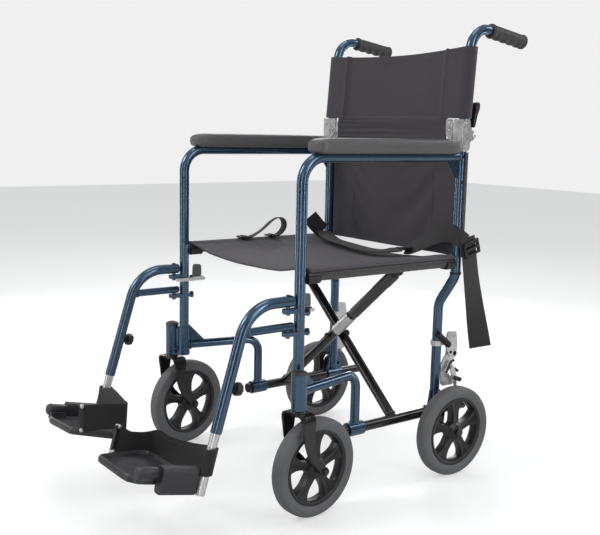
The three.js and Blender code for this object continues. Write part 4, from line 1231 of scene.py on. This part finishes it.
# ---------------------------------------------------------------- footrests
leg_run = HANGER_FOOT - HANGER_CORNER
leg_dir = leg_run.normalized()
leg_back = Vector((0, -leg_dir.z, leg_dir.y)).normalized()
hanger = total([
    tube([(FRAME_X, -22, HANGER_Z), HANGER_CORNER, HANGER_FOOT], TUBE_R, bend=78, steps=24),
    tube([(FRAME_X, -22, STRUT_Z), (227, -134, STRUT_Z)], 8),
    tube([(FRAME_X, -32, HANGER_Z), (FRAME_X, -32, HANGER_Z - 27)], 4.2),
    tube([(FRAME_X, -32, STRUT_Z), (FRAME_X, -32, STRUT_Z - 23)], 4.2),
    weld((FRAME_X + 0.5, -124.5, STRUT_Z), REARWARD, 8.2),
])
pair("hanger", hanger, BLUE, "hanger")
pair("hanger_end_plugs", total([
    lathe((FRAME_X, -22.4, HANGER_Z), REARWARD, [(0, 9.5), (1.4, 9.5), (2.2, 7)], 24),
    lathe((FRAME_X, -22.4, STRUT_Z), REARWARD, [(0, 6.6), (1.4, 6.6), (2.2, 5)], 24),
    lathe((FRAME_X, -32, HANGER_Z + TUBE_R - 0.5), UPWARD, [(0, 4.8), (1.6, 4.6), (2.6, 3)], 20),
]), BLACK_PLASTIC, "hanger", bevel=0.3)

latch = total([
    plate(soft([(-36, 410.5), (-33, 403.6), (40, 402.6), (43, 406), (42, 409.6), (-34, 411)], 1, 0.1), 209.6,
        213.4), block(203, 211, 7, 33, 411, 413.6),
    bolt((209.8, -26, 407), (-1, 0, 0), 2.4, 2.6),
])
pair("hanger_latch", latch, SILVER, "hanger_latch", bevel=0.5)
pair("latch_thumb_tab", plate(soft([(8, 413), (32, 413), (31, 440), (10, 442)], 1, 0.14), 209.8, 213.8),
    CAP_GREY, "hanger_latch", bevel=0.8)
pair("latch_tab_seat", plate([(7, 410.4), (34, 410.4), (34, 413.4), (7, 413.4)], 208.8, 214.6), BLACK_PLASTIC,
    "hanger_latch", bevel=0.4)

extension_run = EXTENSION_FOOT - HANGER_FOOT
extension_dir = extension_run.normalized()
extension = tube([HANGER_CORNER + leg_run * 0.55, EXTENSION_FOOT], 9)
for k in range(4):
    at = HANGER_FOOT + extension_dir * (9 + 13 * k)
    extension += collar(at + Vector((8.2, 0, 0)), OUTWARD, 1.4, 2.6, 1.0, 16)
for k in range(4):
    extension += lathe(EXTENSION_FOOT - extension_dir * (3 + 6 * k), extension_dir, [
        (-1.2, 9.0), (-1.2, 9.6), (1.2, 9.6), (1.2, 9.0)], 24, ring=True)
pair("footrest_extension", extension, SILVER, "extension", bevel=0.5)
knob_base = HANGER_CORNER + leg_run * 0.64
pair("height_knob", lathe(knob_base, leg_back, [
    (11.4, 5), (11.4, 6), (14.6, 6), (15, 9.6), (16.4, 11.8), (19, 12.4), (25, 12.4), (28, 11.6), (29.8, 9),
    (30, 5), ], 48, lobes=8, lobe=0.7), BLACK_PLASTIC, "height_knob", bevel=0.4)

AT_PLATE = Matrix.Translation(FLIP_AXIS) @ Matrix.Rotation(-PLATE_TILT, 4,
    "X") @ Matrix.Translation(-FLIP_AXIS)
clamp_section = soft([(207.5, 111), (232, 111), (232, 162), (207.5, 162)], 3, 0.14)
clamp = plate(clamp_section, -300, -226, "y")
clamp += plate(soft([(208.5, 115), (228, 115), (228, 152), (208.5, 152)], 2, 0.16), -229, -209, "y")
pair("footplate_clamp", clamp.moved(AT_PLATE), SLATE, "extension", bevel=1.4)

TRAY = [(205, -220), (205, -348), (76, -352), (66, -346), (31, -256), (34, -218)]


def inset(outline, by):
    """The outline pulled in towards its middle."""
    cx = sum(a for a, _ in outline) / len(outline)
    cy = sum(b for _, b in outline) / len(outline)
    result = []
    for a, b in outline:
        d = Vector((a - cx, b - cy))
        d *= (d.length - by) / d.length
        result.append((cx + d.x, cy + d.y))
    return result


def tray():
    """A moulded tread with a thick rolled rim and a shallow floor, and a barrel hinge with a collar."""
    outline = soft(TRAY, 2, 0.14)
    levels = [(inset(outline, 7), 121.6), (inset(outline, 3), 122), (inset(outline, 0.8), 124),
        (outline, 127), (outline, 131.5),
              (inset(outline, 1), 134.4), (inset(outline, 3), 136), (inset(outline, 5.4), 136.2),
              (inset(outline, 7.6), 135),
              (inset(outline, 9.2), 132.6), (inset(outline, 11.5), 130.8), (inset(outline, 15), 130.2)]
    body = loft([at_level(line, z, "z") for line, z in levels])
    return total([
        body,
        lathe((214, -344, 146), REARWARD, [(0, 5), (0.6, 8.6), (2.4, 10.8), (5, 11.9), (8, 12), (42, 12),
            (43.2, 11.2)], 40),
        lathe((214, -337, 146), REARWARD, [(0, 12.0), (0.2, 12.5), (1.4, 12.5), (1.6, 12.0)], 40, ring=True),
        block(196, 210, -340, -306, 128, 143),
    ])


TRAY_SHAPE = tray()
for side in ("left", "right"):
    lift = Matrix.Translation((214, 0, 146)) @ Matrix.Rotation(PLATE_LIFT[side], 4,
        "Y") @ Matrix.Translation((-214, 0, -146))
    own = TRAY_SHAPE.moved(AT_PLATE @ lift)
    build(f"footplate_{side}", own if side == "left" else own.mirrored(), SLATE, f"footplate_{side}",
        bevel=0.7)

WRAP = [(226, -194.4, 151.5), (236, -197.4, 153), (240.8, -206.4, 153.5), (237.4, -215.6, 153),
    (226, -219, 152.5)]
WRAP_WIDTH = 0.93
BACK_ROUND = [(*p, 0, 0.28, 1) for p in WRAP]
FRONT_ROUND = [(*p, 0, 0.28, 1) for p in reversed(WRAP)]
HEEL = {
    "left": [
        (51, -311, 162, 0, 0.30, 1), (47.5, -303, 160, 0, 0.28, 1), (42.5, -293, 149, 0, 0.22, 1),
        (36.5, -281, 140.5, 0, 0.14, 1),
        (28, -260, 132.5, 0, 0.1, 1), (25.5, -241, 128, 0, 0.1, 1), (30, -222, 127.6, 0, 0.1, 1),
        (46, -213, 128.5, 0, 0.1, 1),
        (72, -208, 124.5, 0, 0.1, 1), (110, -203, 126.5, 0, 0.1, 1), (160, -198, 132.5, 0, 0.14, 1),
        (204, -194.4, 146, 0, 0.22, 1), ] + BACK_ROUND,
    "right": [
        (58, -334, 176.5, 0, 0.05, 1), (50, -314, 176.4, 0, 0.05, 1), (43, -293, 176, 0, 0.05, 1),
        (36.5, -272, 175, 0, 0.05, 1),
        (31.5, -255, 174, 0, 0.05, 1), (32.5, -246, 173, 0, 0.06, 1), (42, -241.5, 172, 0, 0.08, 1),
        (60, -239, 171, 0, 0.1, 1),
        (100, -231, 169.5, 0, 0.12, 1), (150, -224, 165, 0, 0.16, 1), (200, -219, 158, 0, 0.22, 1),
    ] + FRONT_ROUND,
}


def heel_seam(rows, height, lift_sign):
    """Stitches running the length of a strap at a share of its width."""
    points, normals = [], []
    middles = [Vector(r[:3]) for r in rows]
    for r, p, t in zip(rows, middles, tangents(middles)):
        across = Vector(r[3:6])
        across = (across - t * across.dot(t)).normalized()
        points.append(p + across * LOOP_WIDTH / 2 * height)
        normals.append(t.cross(across) * lift_sign)
    return stitches(points[:-8], normals[:-8], 1.5)


for side in ("left", "right"):
    stations = [(*s, WRAP_WIDTH if s[0] > 220 else 1.16 if 40 < s[0] < 180 and s[1] > -230 else 1.0)
        for s in HEEL[side]]
    heel = band(stations, LOOP_WIDTH, 2.8, 8)
    for height in (0.86, -0.86):
        for sign in (1, -1):
            heel += heel_seam(smooth_line(stations, 8), height, sign)
    start, after = Vector(stations[0][:3]), Vector(stations[1][:3])
    run = (after - start).normalized()
    lean = Vector(stations[0][3:6]).normalized()
    fold_over = [(*(start + run * d), *lean, 1.0) for d in (-1.5, 3.5, 8.5)]
    end_strip = band(fold_over, LOOP_WIDTH + 2, 6.4, 3)
    face = run.cross(lean).normalized()
    pins = total([
        lathe(start + run * 3.5 + lean * LOOP_WIDTH / 2 * share - face * 6.4, face, [
            (0, 1.4), (0.6, 3.2), (2.2, 4.2), (3.2, 4.4), (9.6, 4.4), (10.6, 4.2), (12.2, 3.2), (12.8, 1.4)],
            24) for share in (0.93, -0.93)
    ])
    mirror = 1 if side == "left" else -1
    if mirror < 0:
        heel, end_strip, pins = heel.mirrored(), end_strip.mirrored(), pins.mirrored()
    loop = build(f"heel_loop_{side}", heel, [LOOP_CLOTH, THREAD], None, bevel=0.5, angle=50)
    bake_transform(loop)
    build(f"heel_loop_strip_{side}", end_strip, BLACK_PLASTIC, f"footplate_{side}", bevel=0.8)
    build(f"heel_loop_pins_{side}", pins, ZINC, f"footplate_{side}", bevel=0.3)

# ---------------------------------------------------------------- wheel locks
bracket_ring = lathe((LOWER_X, 412, 282), UPWARD, [(0, 11.4), (0, 13.6), (0.6, 14.2), (11.4, 14.2),
    (12, 13.6), (12, 11.4)], 32, ring=True)
bracket_arm = block(194, 200, 411, 433, 283.5, 292.5)
bracket_plate = plate(soft([(430, 313), (459, 311), (464, 278), (460, 250), (444, 245), (428, 222),
    (414, 222), (416, 244), (430, 262)], 1, 0.12), 196.3, 200)
bracket_foot = plate(soft([(415, 226), (430, 224), (455, 201), (459, 187), (417, 189)], 1, 0.12), 196.6,
    199.4)
pair("brake_bracket", total([bracket_ring, bracket_arm, bracket_plate] + [
    bolt((200, y, z), OUTWARD, 2.3, 2.0) for y, z in ((433, 270.5), (437, 246), (452, 300))
]), SILVER, "frame", bevel=0.4)
pair("brake_bracket_foot", bracket_foot + bolt((199.4, 437, 214.6), OUTWARD, 2.3, 2.0), ZINC, "frame",
    bevel=0.4)
pair("brake_bolts", total([bolt((200, y, z), OUTWARD, r, deep) for y, z, r,
    deep in ((456, 260, 3.8, 4.2), (459, 221, 3.8, 10.5), (452, 244, 2.2, 4.2))]),
     BLACK_STEEL, "frame", bevel=0.3)
HANDLE_FROM = Vector((207, 390, 315))
HANDLE_TO = Vector((207, 430, 283))
handle_run = HANDLE_TO - HANDLE_FROM
handle_profile = [(0, 3.5), (0.8, 6.4)]
RIDGE_PITCH = 3.6
for k in range(int((handle_run.length - 4) / RIDGE_PITCH)):
    at = 2 + RIDGE_PITCH * k
    handle_profile += [(at, 7.4), (at + 1.9, 7.4), (at + 2.3, 6.2), (at + 3.2, 6.2)]
handle_profile += [(handle_run.length - 1, 6.4), (handle_run.length, 4)]
lever = total([
    lathe(HANDLE_FROM, handle_run, handle_profile, 28),
    lathe((202, 438, 266), OUTWARD, [(0, 4), (2.6, 4), (3.6, 3.4), (4.2, 2)], 24),
])
pair("brake_lever", lever, BLACK_PLASTIC, "brake_lever", bevel=0.3)
pair("brake_lever_plate", plate(soft([(434, 256), (446, 256), (447, 268), (432, 290), (420, 296), (420, 286)],
    1, 0.2), 200.6, 204.6), SILVER, "brake_lever", bevel=0.4)
slot_bar = plate(soft([(421, 221), (427, 219), (444, 244), (438, 249)], 1, 0.2), 205.3, 208.2)
pair("brake_link", slot_bar + lathe((206, 452, 205), OUTWARD, [(0, 5), (18, 5), (19.4, 4.2), (20, 2.4)], 20),
    BLACK_STEEL, "brake_pawl", bevel=0.4)
pair("brake_pawl", plate(soft([(436, 240), (443, 240), (459, 208), (455, 199), (446, 200), (436, 228)], 1,
    0.18), 205.3, 208.8)
     + lathe((207, 453.5, 208), (0, 0.07, -1), [(0, 4.2), (20, 4.0), (28, 2.6), (33, 1.0)], 20)
     + bolt((208.8, 440, 233), OUTWARD, 2.6, 2.4), SILVER, "brake_pawl", bevel=0.4)


# ---------------------------------------------------------------- lap belt
lap_part = band([
    (92, 394, 489.5, -0.3, 0.8, 0.5, 1), (106, 398, 494.5, -0.15, 0.6, 0.8, 1),
    (130, 400, 506, -0.1, 0.42, 0.9, 1),
    (165, 401, 522, -0.1, 0.35, 0.94, 1), (198, 401.4, 535, 0, 0.15, 1, 1), (222, 401.4, 537.5, 0, 0, 1, 1),
    (235, 402.6, 535.5, 0, 0, 1, 1), (242.6, 409, 530.5, 0, 0.05, 1, 1), (245.6, 424, 521, 0, 0.2, 1, 1),
], 37, 2.3, 8)
tail = band([
    (246.6, 428, 532, 0, 1, 0.1, 0.95), (246.8, 437, 488, 0, 1, 0.1, 0.95), (247, 446.5, 440, 0, 1, 0.1, 1),
    (248, 457, 391, 0.15, 1, 0.1, 1),
    (249, 470, 336, 0.35, 0.9, 0.05, 1.03), (250, 483.5, 282, 0.6, 0.8, 0, 1.05),
], 46, 2.3, 8)
build("belt_left", lap_part + tail, WEBBING, "left_frame", bevel=0.4)


def buckle(centre, size, tilt):
    """A ladder-lock adjuster: a rounded frame with two bars."""
    w, h, t = size
    bars = [
        block(-w / 2, w / 2, -h / 2, -h / 2 + 5, -t / 2, t / 2),
        block(-w / 2, w / 2, h / 2 - 5, h / 2, -t / 2, t / 2),
        block(-w / 2, -w / 2 + 5, -h / 2, h / 2, -t / 2, t / 2),
        block(w / 2 - 5, w / 2, -h / 2, h / 2, -t / 2, t / 2),
        block(-w / 2 + 3, w / 2 - 3, -2.5, 2.5, -t / 2 + 1, t / 2 + 1.5),
        block(-w / 2 + 3, w / 2 - 3, h / 4 - 1.5, h / 4 + 2.5, -t / 2, t / 2 - 1),
    ]
    return total(bars).moved(Matrix.Translation(centre) @ tilt)


def standing(along, upward, out):
    """The turn that lays a flat buckle along three given directions."""
    return Matrix([Vector(v).normalized() for v in (along, upward, out)]).transposed().to_4x4()


build("belt_buckle", buckle((252.5, 436, 508.5), (46, 33, 7),
    standing((0, 0.953, 0.303), (0, -0.303, 0.953), (1, 0, 0))), BLACK_PLASTIC, "left_frame", bevel=1.2)

across_seat = band([
    (-206, 386, 500, 0, 1, 0, 1), (-180, 374, 495, 0, 1, 0, 1), (-150, 362, 492.5, 0, 1, 0, 1),
    (-111, 349, 489, 0.05, 1, 0, 1),
    (-50, 345, 485.5, 0.1, 1, 0.02, 1), (23, 333, 484.5, 0.1, 1, 0.05, 1), (70, 330, 487, -0.15, 1, 0.08, 1),
    (92, 344, 490, -0.7, 0.7, 0.1, 0.95), (96, 366, 491, -1, 0.1, 0.1, 0.85),
], 38, 2.3, 8)
end_piece = band([
    (-209, 386, 500, 0.1, 1, 0.2, 1), (-210, 372, 512, 0.1, 0.8, 0.6, 1), (-208, 356, 526, 0.2, 0.6, 0.8, 1),
    (-207, 344, 540, 0.2, 0.6, 0.8, 0.9), ], 40, 2.3, 6)
far_loop = band([
    (-214, 140, 494.4, 1, 0.1, 0.1, 1), (-213, 168, 497, 1, 0.1, 0.1, 1), (-212, 200, 512, 1, 0, 0.3, 1),
    (-211, 228, 533, 1, 0, 0.3, 1),
    (-210, 248, 540, 1, 0, 0.1, 1), (-210, 262, 533, 1, 0, 0, 1), (-210, 264, 516, 1, 0, 0, 1),
    (-211, 250, 500, 1, 0, 0, 1), (-212, 226, 494.6, 1, 0, 0, 1), ], 22, 2.1, 8)
build("belt_right", across_seat + end_piece + far_loop, WEBBING, "brace_a", bevel=0.4)
lying = Matrix.Identity(4)
adjusters = total([buckle((-214, 150, 497.5), (30, 24, 4), lying),
    buckle((-212, 230, 497.5), (30, 24, 4), lying),
                   buckle((94, 379, 491.5), (42, 26, 5),
                       standing((1, 0.1, 0.1), (-0.1, 1, 0), (-0.1, 0, 1)))])
build("belt_adjusters", adjusters, BLACK_PLASTIC, "brace_a", bevel=0.8)

# ---------------------------------------------------------------- floor, light and camera
PALE = solid_finish("studio_floor", (0.62, 0.62, 0.615), 0.7, 0.0, 0.0, (2, 0.01), (300, 0.02, 0.0001))
FLOOR_HALF = 9.0
FLOOR_GLOW = 0.42
floor_mesh = bpy.data.meshes.new("studio_floor")
floor_mesh.from_pydata([(-FLOOR_HALF, -FLOOR_HALF, 0), (FLOOR_HALF, -FLOOR_HALF, 0),
    (FLOOR_HALF, FLOOR_HALF, 0), (-FLOOR_HALF, FLOOR_HALF, 0)], [], [(0, 1, 2, 3)])
floor_mesh.materials.append(PALE)
floor = bpy.data.objects.new("studio_floor", floor_mesh)
bpy.context.scene.collection.objects.link(floor)
floor_bsdf = next(n for n in PALE.node_tree.nodes if n.type == "BSDF_PRINCIPLED")
floor_rays = PALE.node_tree.nodes.new("ShaderNodeLightPath")
floor_glow = PALE.node_tree.nodes.new("ShaderNodeMath")
floor_glow.operation = "MULTIPLY"
floor_glow.inputs[1].default_value = FLOOR_GLOW
PALE.node_tree.links.new(floor_rays.outputs["Is Camera Ray"], floor_glow.inputs[0])
PALE.node_tree.links.new(floor_glow.outputs[0], floor_bsdf.inputs["Emission Strength"])
floor_bsdf.inputs["Emission Color"].default_value = (1, 1, 1, 1)


def studio_world(light, backdrop):
    """Even soft light, a pale backdrop for the camera, and a darker low sky in reflections."""
    world = bpy.data.worlds.new("studio")
    world.use_nodes = True
    tree = world.node_tree
    around = tree.nodes["Background"]
    around.inputs["Color"].default_value = (0.95, 0.97, 1.0, 1.0)
    around.inputs["Strength"].default_value = light
    seen = tree.nodes.new("ShaderNodeBackground")
    seen.inputs["Color"].default_value = (backdrop, backdrop, backdrop, 1.0)
    rays = tree.nodes.new("ShaderNodeLightPath")
    reflected = tree.nodes.new("ShaderNodeBackground")
    facing = tree.nodes.new("ShaderNodeTexCoord")
    height = tree.nodes.new("ShaderNodeSeparateXYZ")
    ramp = tree.nodes.new("ShaderNodeMapRange")
    for socket, value in (("From Min", -0.1), ("From Max", 0.9), ("To Min", 0.035), ("To Max", 0.75)):
        ramp.inputs[socket].default_value = value
    tree.links.new(facing.outputs["Generated"], height.inputs[0])
    tree.links.new(height.outputs["Z"], ramp.inputs["Value"])
    tree.links.new(ramp.outputs["Result"], reflected.inputs["Strength"])
    shine = tree.nodes.new("ShaderNodeMixShader")
    tree.links.new(rays.outputs["Is Glossy Ray"], shine.inputs[0])
    tree.links.new(around.outputs[0], shine.inputs[1])
    tree.links.new(reflected.outputs[0], shine.inputs[2])
    choice = tree.nodes.new("ShaderNodeMixShader")
    tree.links.new(rays.outputs["Is Camera Ray"], choice.inputs[0])
    tree.links.new(shine.outputs[0], choice.inputs[1])
    tree.links.new(seen.outputs[0], choice.inputs[2])
    tree.links.new(choice.outputs[0], tree.nodes["World Output"].inputs["Surface"])
    bpy.context.scene.world = world


studio_world(0.40, 0.87)
bpy.context.scene.view_settings.view_transform = "Standard"


def softbox(name, location, size, power, aim=(0, 0, 0.45), tall=None):
    light = bpy.data.lights.new(name, "AREA")
    light.shape = "RECTANGLE"
    light.size = size
    light.size_y = tall or size
    light.energy = power
    obj = bpy.data.objects.new(name, light)
    obj.location = location
    obj.rotation_euler = (Vector(aim) - Vector(location)).to_track_quat("-Z", "Y").to_euler()
    obj.visible_camera = False
    bpy.context.scene.collection.objects.link(obj)


softbox("key", (-0.9, -2.4, 2.6), 1.1, 34)
softbox("fill", (2.8, 0.3, 1.9), 1.3, 14)
softbox("back_left", (-2.3, 1.9, 2.2), 1.2, 16)
softbox("back_right", (1.4, 2.7, 2.3), 1.1, 15)
softbox("top", (0.0, 0.0, 3.2), 1.4, 14)
STRIP_REACH = 2.3
for turn in range(12, 360, 60):
    bearing = math.radians(turn)
    strip_at = (STRIP_REACH * math.cos(bearing), STRIP_REACH * math.sin(bearing), 0.75)
    softbox(f"strip_{turn}", strip_at, 0.2, 7.5, aim=(0, 0, 0.6), tall=1.7)

CAMERA_AT = (1566.5, -999.8, 755.8)
CAMERA_LENS, CAMERA_SENSOR = 53.26, 36
AZIMUTH, PITCH, ROLL = (math.radians(d) for d in (53.451, 8.869, 1.265))
forward = Vector((-math.sin(AZIMUTH) * math.cos(PITCH), math.cos(AZIMUTH) * math.cos(PITCH),
    -math.sin(PITCH)))
right = forward.cross(Vector((0, 0, 1))).normalized()
up = right.cross(forward)
camera_x = right * math.cos(ROLL) + up * math.sin(ROLL)
camera_y = up * math.cos(ROLL) - right * math.sin(ROLL)
camera_data = bpy.data.cameras.new("photo_camera")
camera_data.lens = CAMERA_LENS
camera_data.sensor_width = CAMERA_SENSOR
camera = bpy.data.objects.new("photo_camera", camera_data)
camera.matrix_world = Matrix.Translation(placed(CAMERA_AT)) @ Matrix((camera_x, camera_y,
    -forward)).transposed().to_4x4()
bpy.context.scene.collection.objects.link(camera)
bpy.context.scene.camera = camera
